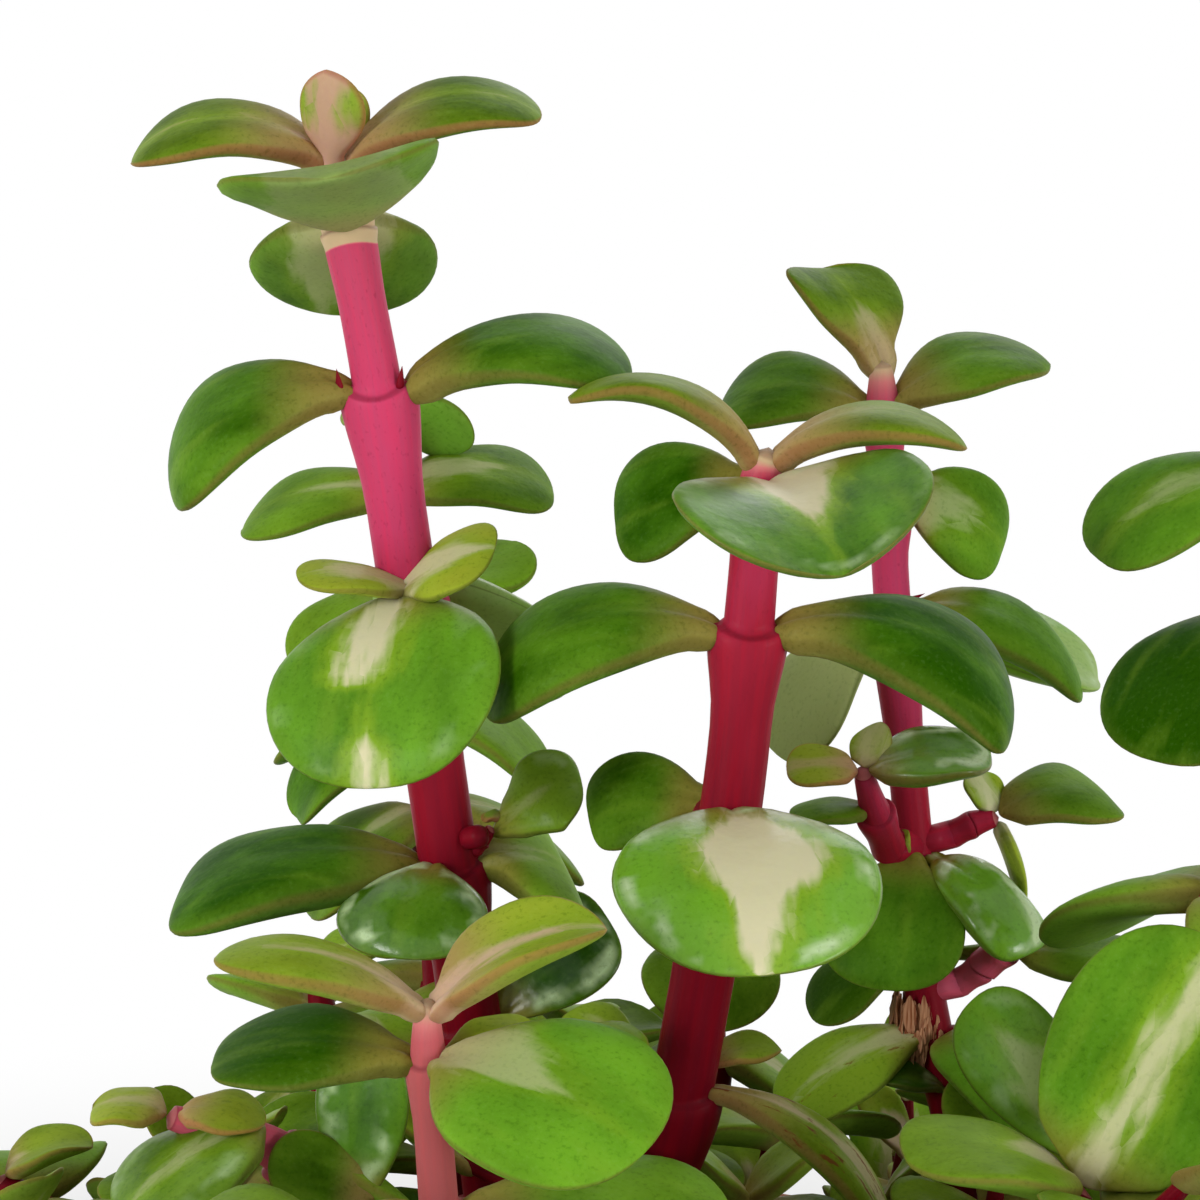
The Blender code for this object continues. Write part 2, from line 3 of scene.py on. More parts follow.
# %% [markdown]
# # A potted elephant bush
#
# The plant is a young Portulacaria afra with cream-hearted leaves. Crimson stems climb in short
# internodes, and every joint carries a pair of plump leaves, each pair a quarter turn round from the
# one below. It could be sculpted by hand, leaf by leaf. Here it is grown from rules instead: one
# formula makes every leaf and one makes every stem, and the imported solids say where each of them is.
# The first cell loads those solids and keeps their overall box, the size that the looks have to keep.

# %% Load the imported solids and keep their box
import json
import math
from collections import namedtuple
from functools import partial

import bpy
import numpy as np
from mathutils import Matrix, Vector

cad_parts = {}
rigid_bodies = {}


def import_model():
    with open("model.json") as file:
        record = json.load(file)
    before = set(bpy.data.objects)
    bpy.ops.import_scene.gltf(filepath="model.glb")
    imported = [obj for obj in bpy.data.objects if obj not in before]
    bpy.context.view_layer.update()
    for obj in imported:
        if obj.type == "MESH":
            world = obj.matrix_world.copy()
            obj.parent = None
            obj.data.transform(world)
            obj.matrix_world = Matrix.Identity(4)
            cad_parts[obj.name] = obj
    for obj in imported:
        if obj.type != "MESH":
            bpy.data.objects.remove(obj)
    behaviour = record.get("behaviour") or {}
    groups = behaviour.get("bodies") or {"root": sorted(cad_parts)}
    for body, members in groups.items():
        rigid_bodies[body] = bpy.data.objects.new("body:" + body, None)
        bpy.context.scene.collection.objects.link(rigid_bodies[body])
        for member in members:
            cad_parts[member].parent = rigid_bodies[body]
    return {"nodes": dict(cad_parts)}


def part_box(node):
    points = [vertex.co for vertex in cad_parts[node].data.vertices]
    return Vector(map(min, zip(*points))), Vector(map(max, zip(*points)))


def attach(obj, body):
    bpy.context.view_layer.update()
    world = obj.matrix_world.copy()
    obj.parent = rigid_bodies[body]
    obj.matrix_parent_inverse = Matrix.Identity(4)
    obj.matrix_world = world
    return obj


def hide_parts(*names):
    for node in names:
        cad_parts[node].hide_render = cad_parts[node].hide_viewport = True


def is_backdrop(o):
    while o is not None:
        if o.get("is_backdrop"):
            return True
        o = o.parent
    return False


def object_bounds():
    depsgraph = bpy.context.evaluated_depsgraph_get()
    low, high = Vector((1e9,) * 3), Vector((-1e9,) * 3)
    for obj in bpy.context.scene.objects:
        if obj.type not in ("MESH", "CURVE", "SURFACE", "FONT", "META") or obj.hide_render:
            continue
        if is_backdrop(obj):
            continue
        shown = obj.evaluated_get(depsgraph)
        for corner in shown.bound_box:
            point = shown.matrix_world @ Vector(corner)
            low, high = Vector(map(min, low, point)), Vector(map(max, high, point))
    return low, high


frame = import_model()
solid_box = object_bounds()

MM = 0.001
SEED = 7
print("solids:", len(frame["nodes"]), "height", round(solid_box[1].z / MM, 1), "mm")

# %% [markdown]
# ## The camera
#
# The camera comes early, because it shows at once whether a shoot stands where it should. It looks
# from close by at the top of the plant, a little down on it, with a lens long enough to keep near and
# far leaves at a like size. A wider lens from nearer would swell the front shoot. The place is worked
# out from the top of the solids, so the view follows the plant if its height changes.

# %% Set the camera
CAMERA_BELOW_TOP = 35.4 * MM
CAMERA_DISTANCE = 200.0 * MM
CAMERA_ELEVATION = math.radians(12.0)
CAMERA_LENS = 90.0


def set_camera():
    """The eye is the aim plus the distance times (0, -cos e, sin e), for elevation e."""
    aim = Vector((0.0, 0.0, solid_box[1].z - CAMERA_BELOW_TOP))
    back = Vector((0.0, -math.cos(CAMERA_ELEVATION), math.sin(CAMERA_ELEVATION)))
    data = bpy.data.cameras.new("camera")
    data.lens = CAMERA_LENS
    data.clip_start = 0.01
    camera = bpy.data.objects.new("camera", data)
    camera.location = aim + back * CAMERA_DISTANCE
    camera.rotation_euler = (-back).to_track_quat("-Z", "Y").to_euler()
    bpy.context.scene.collection.objects.link(camera)
    bpy.context.scene.camera = camera
    return camera


camera = set_camera()
print("camera at", [round(v / MM, 1) for v in camera.location], "mm")

# %% [markdown]
# ## Numbers, colours and nodes
#
# Colours are written as the hex values that a paint program shows, and turned to the linear light
# that Blender reckons in by one function. Shader trees are long lists of small boxes, so one short
# function adds a node, sets it and links it. Everything else in the materials is built from these.
# The two settings that come back most often have names: a smooth range, and a mix of two colours.

# %% Helpers for colours, easing and shader nodes
SMOOTH = {"interpolation_type": "SMOOTHSTEP"}
COLOURS = {"data_type": "RGBA"}


def linear(hex_colour):
    """Linear red, green, blue, alpha of an sRGB hex colour: x / 12.92, or ((x + 0.055) / 1.055)^2.4."""
    srgb = np.array([int(hex_colour[i:i + 2], 16) for i in (1, 3, 5)]) / 255.0
    value = np.where(srgb <= 0.04045, srgb / 12.92, ((srgb + 0.055) / 1.055) ** 2.4)
    return (*(float(v) for v in value), 1.0)


def ease(value, low, high):
    """0 below low, 1 above high, and 3t^2 - 2t^3 between them."""
    t = np.clip((value - low) / (high - low), 0.0, 1.0)
    return t * t * (3.0 - 2.0 * t)


def unit(vectors):
    """Each vector divided by its own length."""
    return vectors / np.maximum(np.linalg.norm(vectors, axis=-1, keepdims=True), 1e-12)


def fill(node, *placed, **named):
    """Feeds a node. The placed values go to the sockets in use, in order, and the named ones to the
    sockets called so. A value is a number, a colour, a socket, or a node for its first output in use."""
    in_use = [socket for socket in node.inputs if socket.enabled]
    by_name = [(node.inputs[name.replace("_", " ")], value) for name, value in named.items()]
    for socket, value in [*zip(in_use, placed), *by_name]:
        if isinstance(value, bpy.types.Node):
            value = next(output for output in value.outputs if output.enabled)
        if isinstance(value, bpy.types.NodeSocket):
            node.id_data.links.new(value, socket)
        else:
            socket.default_value = value


def add_node(tree, kind, *placed, **named):
    """A new shader node. Names in small letters are its settings, and the rest feeds its sockets."""
    node = tree.nodes.new("ShaderNode" + kind)
    for name, value in named.items():
        if name[0].islower():
            setattr(node, name, value)
    fill(node, *placed, **{name: value for name, value in named.items() if name[0].isupper()})
    return node


print("leaf green in linear light:", [round(v, 3) for v in linear("#5f9334")])

# %% [markdown]
# ## Reading the leaves back from the solids
#
# Each leaf solid is a ball drawn out along its midrib, so its points lie in rings from the tip to the
# base. A ring tells three things: its two farthest points are the leaf's margins, its middle is near
# the midrib, and the height of the margins over the midrib is how cupped the leaf is. The placing
# could be typed in again for every leaf, but then a leaf that moves in the plan would be left behind.
# Reading the rings keeps the looks and the solids in step.

# %% Weld a solid and walk its rings
WELD = 0.002


def welded(node):
    """A solid's points in millimetres and a table of which points touch, its loose faces joined."""
    mesh = frame["nodes"][node].data
    points = np.empty(3 * len(mesh.vertices))
    mesh.vertices.foreach_get("co", points)
    points = points.reshape(-1, 3) / MM
    mesh.calc_loop_triangles()
    corners = np.empty(3 * len(mesh.loop_triangles), int)
    mesh.loop_triangles.foreach_get("vertices", corners)
    cells = np.round(points / WELD).astype(int)
    _, first, index = np.unique(cells, axis=0, return_index=True, return_inverse=True)
    corners = index.reshape(-1)[corners].reshape(-1, 3)
    touching = np.zeros((len(first), len(first)), bool)
    for a, b in ((0, 1), (1, 2), (2, 0)):
        touching[corners[:, a], corners[:, b]] = True
    return points[first], touching | touching.T


def rings_from(touching, pole, size):
    """Rings round a pole: each is what the one before touches, for as long as it has this size."""
    seen = np.zeros(len(touching), bool)
    seen[pole] = True
    ring = np.array([pole])
    found = []
    while True:
        reached = touching[ring].any(axis=0) & ~seen
        ring = np.flatnonzero(reached)
        if len(ring) != size:
            return found
        found.append(ring)
        seen |= reached


points, touching = welded("tall_leaf_6_left")
print("a leaf solid has", len(points), "points, and its poles touch", touching.sum(axis=1).max())

# %% [markdown]
# ## The plan of the shoots
#
# A stem is a smooth line through its joints, so the joints are all that has to be known of it. These
# are the same points, in millimetres, that the solids were made from, with the stem's radius at its
# foot and at its tip. Sprigs are the short side shoots that grow out of another stem, their parent.
# A shoot's red follows its height, partly its own colour and partly painted shade that darkens the lower
# stems. Fresh is how many millimetres higher its colour is taken from, which makes a young shoot pinker
# and paints light onto a shoot that stands in shadow, and dusty is the share of pale bloom that lies all
# along it.

# %% The joints of every shoot
Shoot = namedtuple("Shoot", "node foot tip joints parent fresh dusty", defaults=("", 0.0, 0.0))

SHOOTS = {
    "tall": Shoot("tall_stem", 2.5, 1.4, [
        (-5, 5, 80), (-6.5, 4.5, 95), (-7.5, 4, 108), (-9, 3, 121.5), (-10.4, 2, 133.2), (-12.7, 0.5, 152),
        (-14.6, 0.3, 166.2), (-16.4, 0, 176.8), (-16.9, 0, 181.2)]),
    "front": Shoot("front_stem", 2.5, 1.4, [
        (0.5, -2, 80), (2, -5, 96), (3.4, -8, 110), (5.4, -10, 121.4), (8.4, -9.2, 140.2), (9.5, -8.4, 152),
        (10.2, -8, 161), (10.6, -8, 163.2)], fresh=-9),
    "rear": Shoot("rear_stem", 1.75, 1.2, [
        (29, 15, 80), (28.4, 16.5, 92), (27.2, 18, 105), (25.2, 20, 114.4), (24.1, 21, 120.6),
        (23.8, 22, 127.6), (22, 24, 145.6), (21.4, 24, 153.6), (20.9, 24, 161.4),
        (20.7, 24, 164.6)], fresh=14),
    "near": Shoot("near_stem", 2, 1, [
        (-7, -24, 80), (-7.6, -27.5, 96), (-8.6, -30.5, 110), (-9.4, -31.6, 122.4), (-9.9, -32, 131.8),
        (-9.9, -32, 135.2)], fresh=14, dusty=0.26),
    "back": Shoot("back_shoot", 1.9, 1.2, [
        (-12, 27, 80), (-11.6, 25.5, 100), (-12, 24, 117), (-12.6, 24, 130.5), (-13.6, 24, 139),
        (-14.4, 24, 147.6), (-15.2, 24, 155), (-15.6, 24, 160.6)]),
    "edge": Shoot("edge_shoot", 2.1, 1.3, [
        (24, -14, 80), (30, -13, 98), (36.2, -10, 116), (41.4, -7, 134), (43.3, -5, 151), (43.8, -5, 161.4),
        (44, -5, 165)]),
    "low_left": Shoot("low_left_shoot", 2, 1.3, [
        (-16, -8, 80), (-16.5, -11, 98), (-17, -12, 111), (-20.6, -14, 118.6),
        (-27.2, -16, 121.8)], fresh=48, dusty=0.14),
    "low_right": Shoot("low_right_shoot", 2, 1.3, [
        (14, -26, 80), (21, -29, 96), (27.5, -29, 109), (32, -27, 117.6), (33.8, -26, 121)]),
    "left_fill": Shoot("left_fill_shoot", 1.9, 1.2, [
        (-26, 8, 80), (-32, 9, 91), (-37.5, 9, 100), (-41.5, 9, 105), (-43.5, 9, 107)]),
    "right_fill": Shoot("right_fill_shoot", 1.9, 1.2, [
        (31, -2, 80), (37, 1, 96), (42, 2, 107), (45, 3, 114), (46.5, 3, 117.5)]),
    "back_left_fill": Shoot("back_left_fill_shoot", 1.9, 1.2, [
        (-18, 27, 80), (-20, 33, 94), (-22, 38, 103), (-23, 40.5, 108.5), (-23.5, 42, 111)]),
    "back_right_fill": Shoot("back_right_fill_shoot", 1.9, 1.2, [
        (9, 30, 80), (9, 35, 94), (9, 39, 106), (9, 41, 114), (9, 42, 118)]),
    "tall_sprig": Shoot("tall_sprig", 0.75, 0.6, [
        (-8.6, 1.6, 134.4), (-8, 1.4, 135.1), (-7.4, 1.2, 135.8)], parent="tall"),
    "rear_left_sprig": Shoot("rear_left_sprig", 1.45, 1.1, [
        (21.6, 20, 128.8), (20.2, 16.5, 132.6), (19, 13.5, 136.4)], parent="rear", fresh=14),
    "rear_right_sprig": Shoot("rear_right_sprig", 1.15, 1, [
        (26.6, 21.8, 129.4), (28.2, 21.2, 130.4), (29.6, 20.8, 130.9)], parent="rear", fresh=14),
    "rear_branch": Shoot("rear_branch", 1.2, 1.1, [
        (27.2, 20.2, 118.2), (28.8, 19.4, 119.7), (30.2, 18.6, 121.5),
        (31.3, 18, 123.2)], parent="rear", fresh=38, dusty=0.14),
}
SOIL_LEVEL = SHOOTS["tall"].joints[0][2]
for name, shoot in SHOOTS.items():
    low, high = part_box(shoot.node)
    print(name, "joints to", shoot.joints[-1][2], "mm in a solid to", round(high.z / MM, 1), "mm")

# %% [markdown]
# ## One record for every leaf
#
# A leaf is its midrib, the direction across it, its width and its cup. The midrib is kept as a cubic
# curve, which is smooth, cheap to work out at any share of its length, and close to the arc that a
# heavy leaf bends into. Leaves that are read and leaves that are grown later use the same record, so
# one surface formula serves both.

# %% Read every leaf of the solids
Leaf = namedtuple("Leaf", "name midrib side width cup shoot joint")
FREE_RING, FREE_ROWS = 8, 7
JOINED_RING, JOINED_ROWS = 6, 5
SOLID_SHOULDER, SOLID_ROUNDNESS = 0.70, 0.50
LENGTH_STEPS = 17
# The low right shoot is dressed a little to the left of its solid, where its striped leaf shows best.
SHIFTS = {"low_right": (-4.8, 0.0, 0.0)}


def blade_outline(share, shoulder, roundness):
    """Half width over greatest half width: s^a (1 - s)^b at a peak of one. A smaller a makes the leaf
    broad from its very base, and a larger b points the tip."""
    peak = shoulder / (shoulder + roundness)
    greatest = peak**shoulder * (1.0 - peak) ** roundness
    return share**shoulder * (1.0 - share) ** roundness / greatest


def fit_midrib(shares, places):
    """The cubic in the share of the length that passes nearest these places, one column an axis."""
    return np.polyfit(shares, places, min(3, len(shares) - 1))


def midrib_at(midrib, share):
    """The midrib's point and its slope at each share: sums of coefficient times share to a power."""
    powers = np.arange(len(midrib) - 1, -1, -1)
    share = np.asarray(share, float)[..., None]
    place = (share**powers) @ midrib
    slope = (powers[:-1] * share ** (powers[:-1] - 1)) @ midrib[:-1]
    return place, slope


def leaf_length(midrib):
    """The midrib's length: the sum of its short steps."""
    place = midrib_at(midrib, np.linspace(0.0, 1.0, LENGTH_STEPS))[0]
    return float(np.linalg.norm(np.diff(place, axis=0), axis=1).sum())


def read_leaf(name, points, tip, rings, rows, base, shoot, joint):
    """A ring's long axis is the way across, its half width is root two times the spread along that
    axis, and the cup is how far its points rise with the square of their distance from the midrib."""
    walk = [0.5 + 0.5 * math.cos(math.pi * (k + 1) / rows) for k in range(len(rings))]
    shares = np.array([1.0] + walk + [0.0])
    corners = points[np.array(rings)]
    centres = corners.mean(axis=1)
    spread = corners - centres[:, None]
    axes = np.linalg.svd(spread, full_matrices=False)[2][:, 0]
    axes = axes * np.sign(axes @ axes[len(rings) // 2])[:, None]
    side = unit(axes.sum(axis=0))
    midrib = fit_midrib(shares, np.vstack([points[tip], centres, base]))
    if np.cross(midrib_at(midrib, 0.05)[1], side)[2] < 0.0:
        side = -side
    ups = unit(np.cross(midrib_at(midrib, shares[1:-1])[1], side))
    across = spread @ side
    halves = np.sqrt(2.0 * (across**2).mean(axis=1))
    bow = across**2 / halves[:, None] ** 2 - 0.5
    lifts = np.einsum("rpk,rk->rp", spread, ups)
    cups = (lifts * bow).sum(axis=1) / (bow**2).sum(axis=1) / halves
    centres = centres - ups * (0.5 * cups * halves)[:, None]
    midrib = fit_midrib(shares, np.vstack([points[tip], centres, base]))
    widest = int(halves.argmax())
    width = 2.0 * halves[widest] / blade_outline(shares[widest + 1], SOLID_SHOULDER, SOLID_ROUNDNESS)
    return Leaf(name, midrib, side, float(width), float(cups[widest]), shoot, joint)


def read_free_leaf(node):
    """A leaf in a solid of its own: the pole nearer its stem is the base, the other is the tip."""
    shoot, _, joint = node.split("_")[:3]
    stem = np.array(SHOOTS[shoot].joints[int(joint)], float)
    points, touching = welded(node)
    poles = [p for p in np.flatnonzero(touching.sum(axis=1) == FREE_RING)
             if len(rings_from(touching, p, FREE_RING)) == FREE_ROWS - 1]
    base, tip = sorted(poles, key=lambda p: np.linalg.norm(points[p] - stem))
    rings = rings_from(touching, tip, FREE_RING)
    return read_leaf(node, points, tip, rings, FREE_ROWS, points[base], shoot, int(joint))


def read_joined_leaves(shoot):
    """The leaves of a one-piece shoot: only their tips are free, so the base is the nearest joint."""
    plan = SHOOTS[shoot]
    joints = np.array(plan.joints, float)
    points, touching = welded(plan.node)
    found = []
    for tip in np.flatnonzero(touching.sum(axis=1) == JOINED_RING):
        rings = rings_from(touching, tip, JOINED_RING)
        if len(rings) < 2:
            continue
        inner = points[rings[-1]].mean(axis=0)
        inward = unit(inner - points[rings[-2]].mean(axis=0))
        left = 0.5 + 0.5 * math.cos(math.pi * len(rings) / JOINED_ROWS)
        length = np.linalg.norm(points[tip] - inner) / (1.0 - left)
        joint = int(np.linalg.norm(joints - inner - inward * left * length, axis=1).argmin())
        found.append(read_leaf("", points, tip, rings, JOINED_ROWS, joints[joint], shoot, joint))
    found.sort(key=lambda leaf: tuple(midrib_at(leaf.midrib, 1.0)[0].round(2)))
    return [leaf._replace(name=f"{shoot}_{leaf.joint}_{k}") for k, leaf in enumerate(found)]


free_leaves = {node: read_free_leaf(node) for node in sorted(frame["nodes"]) if "_leaf_" in node}
joined_leaves = {}
for shoot, plan in SHOOTS.items():
    if not plan.node.endswith("_stem"):
        joined_leaves[shoot] = read_joined_leaves(shoot)
for shoot, shift in SHIFTS.items():
    moved = [tuple(np.add(joint, shift)) for joint in SHOOTS[shoot].joints]
    SHOOTS[shoot] = SHOOTS[shoot]._replace(joints=moved)
    for leaf in joined_leaves[shoot]:
        leaf.midrib[-1] += shift
print(len(free_leaves), "free leaves and", {k: len(v) for k, v in joined_leaves.items()})
lengths = [leaf_length(leaf.midrib) for leaf in free_leaves.values()]
print("free leaves are", round(min(lengths), 1), "to", round(max(lengths), 1), "mm long")

# %% [markdown]
# ## From a grid of points to a piece
#
# Leaves, stems and buds are all closed tubes: rings of points with a pole at each end. Their faces
# follow one pattern whatever the shape is, so the pattern is written once, as index arrays. The mesh is
# then filled in a few whole-array calls, which is many times quicker than adding faces one by one.
# Each point also carries measures that the materials read, such as how far it lies from a margin.

# %% Make a piece from tubes
Tube = namedtuple("Tube", "points rings around measures")


def tube_faces(rings, around):
    """Fans at the two poles, the first and the last point, and quads between the rings."""
    row = 1 + around * np.arange(rings)[:, None]
    here = row + np.arange(around)[None]
    beside = row + (np.arange(around)[None] + 1) % around
    quads = np.stack([here[:-1], beside[:-1], beside[1:], here[1:]], axis=-1).reshape(-1, 4)
    first = np.stack([np.zeros(around, int), beside[0], here[0]], axis=-1)
    last = np.stack([here[-1], beside[-1], np.full(around, 1 + rings * around)], axis=-1)
    return quads, np.vstack([first, last])


def make_piece(name, tubes, material, slot, *nodes):
    """One object from several tubes. It rides on the root body and stands for the solids named."""
    points = np.vstack([tube.points for tube in tubes]) * MM
    starts = np.cumsum([0] + [len(tube.points) for tube in tubes[:-1]])
    faces = [tube_faces(tube.rings, tube.around) for tube in tubes]
    quads = np.vstack([f[0] + start for f, start in zip(faces, starts)])
    fans = np.vstack([f[1] + start for f, start in zip(faces, starts)])
    mesh = bpy.data.meshes.new(name)
    mesh.vertices.add(len(points))
    mesh.vertices.foreach_set("co", points.astype(np.float32).ravel())
    corners = np.concatenate([quads.ravel(), fans.ravel()]).astype(np.int32)
    sizes = np.concatenate([np.full(len(quads), 4), np.full(len(fans), 3)]).astype(np.int32)
    mesh.loops.add(len(corners))
    mesh.loops.foreach_set("vertex_index", corners)
    mesh.polygons.add(len(sizes))
    loop_starts = np.concatenate([[0], np.cumsum(sizes)[:-1]])
    mesh.polygons.foreach_set("loop_start", loop_starts.astype(np.int32))
    mesh.update(calc_edges=True)
    for key in tubes[0].measures:
        layer = mesh.attributes.new(key, "FLOAT_VECTOR", "POINT")
        values = np.vstack([tube.measures[key] for tube in tubes])
        layer.data.foreach_set("vector", values.astype(np.float32).ravel())
    mesh.shade_smooth()
    mesh.materials.append(material)
    piece = bpy.data.objects.new(name, mesh)
    bpy.context.scene.collection.objects.link(piece)
    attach(piece, "root")
    if nodes:
        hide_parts(*nodes)
    return piece


quads, fans = tube_faces(3, 4)
print("a tube of 3 rings of 4 has", len(quads), "quads and", len(fans), "triangles")

# %% [markdown]
# ## The surface of a leaf
#
# A leaf of this plant is a plump pad: narrow where it leaves the stem, broadest past its middle, and
# round at the tip, often with a tiny point. Its upper side is flatter than its underside, with a faint
# trough along the midrib near the base. One formula in two parameters gives all of this: the share of
# the way along the midrib, and the angle round the cross-section. The rings crowd together towards both
# ends, where the outline turns fastest, so the tips stay round with few points.
#
# What makes one leaf differ from the next is its looks. Seven say how the skin is coloured: cream is
# the patch, fade how white it is, youth how yellow the green, blush how pink the base and margin (below
# nought they stay green), shade how deep the green, marks how scarred, and gloss how shiny the skin is
# and how bright the painted highlight along its rim. The others bend the leaf that was read: it moves in
# millimetres, rolls about its length and swings round its base in degrees, droops at the tip in
# millimetres, stretches, broadens, cups and thickens.

# %% Work out a leaf as a closed tube
OVAL, POINTED, BLUNT = 0.42, 0.62, 0.34
SHOULDER = 0.70
SKIN_LOOKS = {"cream": (), "fade": 1.0, "youth": 0.0, "blush": 0.1,
              "shade": 0.0, "marks": 0.0, "gloss": 0.0}
POSE_LOOKS = {"move": (0.0, 0.0, 0.0), "roll": 0.0, "droop": 0.0, "swing": 0.0, "stretch": 1.0,
              "broad": 1.0, "cup": 0.0, "thick": 1.0, "shoulder": SHOULDER, "roundness": OVAL}
PLAIN_LOOKS = {**SKIN_LOOKS, **POSE_LOOKS}
Looks = namedtuple("Looks", PLAIN_LOOKS, defaults=PLAIN_LOOKS.values())

THICKNESS_LEAST, THICKNESS_SHARE = 0.9, 0.11
YOUNG_THINNING = 0.25
UPPER_BULGE, LOWER_BULGE = 0.84, 1.12
TROUGH_DEPTH, TROUGH_WIDTH = 0.30, 0.25
PETIOLE_SHARE, PETIOLE_WIDEST, PETIOLE_THICK = 0.15, 2.0, 0.75
MARGIN_WAVE, WAVES = (0.08, 0.22), 1.3
UNEVEN_SIDES = 0.05
LEAF_TWIST = 5.0
TINGE_START, TINGE_LONGEST, TINGE_SHARE = 0.4, 4.4, 0.34
# Where the painted rim highlight lies: how far in from the margin, in mm, and how wide.
HIGHLIGHT_RIM_PLACE, HIGHLIGHT_RIM_WIDTH = 1.0, 0.8
NOISE_SPREAD = 400.0
BLADE_ROWS, BLADE_AROUND = 30, 28
NO_CREAM = -9.0


def pose_leaf(leaf, looks):
    """The same leaf, swung round the upright axis at its base, rolled about its own length, stretched,
    drooping with the square of the share of its length, and then moved."""
    turn = np.array(Matrix.Rotation(math.radians(looks.swing), 3, "Z"))
    midrib = leaf.midrib.copy()
    midrib[:-1] = midrib[:-1] @ turn.T * looks.stretch
    midrib[-3] -= (0.0, 0.0, looks.droop)
    midrib[-1] += looks.move
    side = turn @ leaf.side
    ahead = unit(midrib_at(midrib, 0.35)[1])
    lean = math.radians(looks.roll)
    side = side * math.cos(lean) + np.cross(ahead, side) * math.sin(lean)
    return leaf._replace(midrib=midrib, side=side, width=leaf.width * looks.broad, cup=leaf.cup + looks.cup)


def cream_depth(looks, share, across):
    """How far inside the cream patch a point lies, in mm: the patch's reach on its side of the midrib
    less its distance from the midrib. The patch is a list of share, reach left and reach right."""
    if not looks.cream:
        return np.full(across.shape, NO_CREAM)
    shares, left, right = np.array(looks.cream, float).T
    left = np.interp(share, shares, left)
    right = np.interp(share, shares, right)
    return np.where(across < 0.0, left, right) - np.abs(across)


def leaf_tube(leaf, looks, rng, tuck, rows=BLADE_ROWS, around=BLADE_AROUND):
    """Midrib point, plus across times the side vector, plus lift times the up vector, on a grid.

    share is start + (1 - start)(1 - cos pi k / n) / 2, and round the section at the angle a,
    across is half width times cos a, lift is half thickness times a flattened sin a, plus the cup.
    """
    leaf = pose_leaf(leaf, looks)
    length = leaf_length(leaf.midrib)
    start = -tuck / length
    step = np.arange(1, rows) / rows
    share = start + (1.0 - start) * (0.5 - 0.5 * np.cos(np.pi * step))
    inside = np.clip(share, 0.0, 1.0)
    angle = math.tau * np.arange(around) / around
    petiole = min(PETIOLE_WIDEST, PETIOLE_SHARE * leaf.width)
    fade_out = np.clip(1.0 - share, 0.0, 1.0) ** 0.5
    round_foot = np.sqrt(np.clip((share - start) * length / petiole, 0.0, 1.0))
    blade = 0.5 * leaf.width * blade_outline(inside, looks.shoulder, looks.roundness)
    half_width = (blade**3 + (petiole * fade_out) ** 3) ** (1.0 / 3.0) * round_foot
    thickness = (THICKNESS_LEAST + THICKNESS_SHARE * length) * (1.0 - YOUNG_THINNING * looks.youth)
    thickness *= looks.thick
    pad = thickness * np.sqrt(inside * (1.0 - inside)) * (1.05 - 0.35 * inside)
    half_thick = (pad**3 + (PETIOLE_THICK * petiole * fade_out) ** 3) ** (1.0 / 3.0) * round_foot
    cosine, sine = np.cos(angle), np.sin(angle)
    lean = 1.0 + rng.uniform(-UNEVEN_SIDES, UNEVEN_SIDES) * np.sign(cosine) * np.abs(cosine)
    across = half_width[:, None] * (cosine * lean)[None]
    bulge = np.where(sine > 0.0, UPPER_BULGE, LOWER_BULGE) * np.sign(sine) * np.abs(sine) ** 0.85
    trough = TROUGH_DEPTH * np.exp(-((cosine / TROUGH_WIDTH) ** 2)) * (sine > 0.0)
    fat = half_thick[:, None] * (bulge[None] - trough[None] * ((1.0 - inside) ** 1.5)[:, None])
    lift = fat + leaf.cup * half_width[:, None] * (cosine**2)[None]
    wave = rng.uniform(*MARGIN_WAVE) * np.sin(math.tau * (WAVES * inside + rng.uniform()))
    lift += (wave * ease(inside, 0.1, 0.5))[:, None] * (cosine * np.abs(cosine))[None]
    place, slope = midrib_at(leaf.midrib, share)
    ahead = unit(slope)
    side = unit(leaf.side - ahead * (ahead @ leaf.side)[:, None])
    up = np.cross(ahead, side)
    twist = math.radians(rng.uniform(-LEAF_TWIST, LEAF_TWIST)) * inside
    side, up = (
        side * np.cos(twist)[:, None] + up * np.sin(twist)[:, None],
        up * np.cos(twist)[:, None] - side * np.sin(twist)[:, None],
    )
    grid = place[:, None] + across[..., None] * side[:, None] + lift[..., None] * up[:, None]
    poles = midrib_at(leaf.midrib, np.array([start, 1.0]))[0]
    points = np.vstack([poles[:1], grid.reshape(-1, 3), poles[1:]])
    narrowing = np.gradient(half_width, share * length)
    edge = half_width[:, None] * (1.0 - np.abs(cosine))[None] / np.sqrt(1.0 + narrowing**2)[:, None]
    seed = rng.uniform(0.0, NOISE_SPREAD)
    along = (share * length)[:, None]
    blade_measure = grid_measure(along, across, seed + fat)
    cream = cream_depth(looks, share[:, None], across)
    form_measure = grid_measure(edge, cream, sine[None])
    tinge_end = min(TINGE_LONGEST, TINGE_SHARE * length) * (1.0 + 0.9 * looks.blush)
    tinge = 1.0 - ease(along, TINGE_START, tinge_end)
    # A band about a millimetre in from the margin, on the upper side, where the painted rim highlight goes.
    highlight_rim = np.clip(1.0 - np.abs(edge - HIGHLIGHT_RIM_PLACE) / HIGHLIGHT_RIM_WIDTH, 0.0, 1.0) * (sine > -0.3)[None]
    ones = np.ones(len(points))[:, None]
    measures = {
        "blade": blade_measure,
        "form": form_measure,
        "foot": grid_measure(tinge, highlight_rim, edge),
        "habit": ones * (looks.youth, looks.blush, looks.shade),
        "care": ones * (looks.fade, looks.marks, looks.gloss),
    }
    return Tube(points, rows - 1, around, measures)


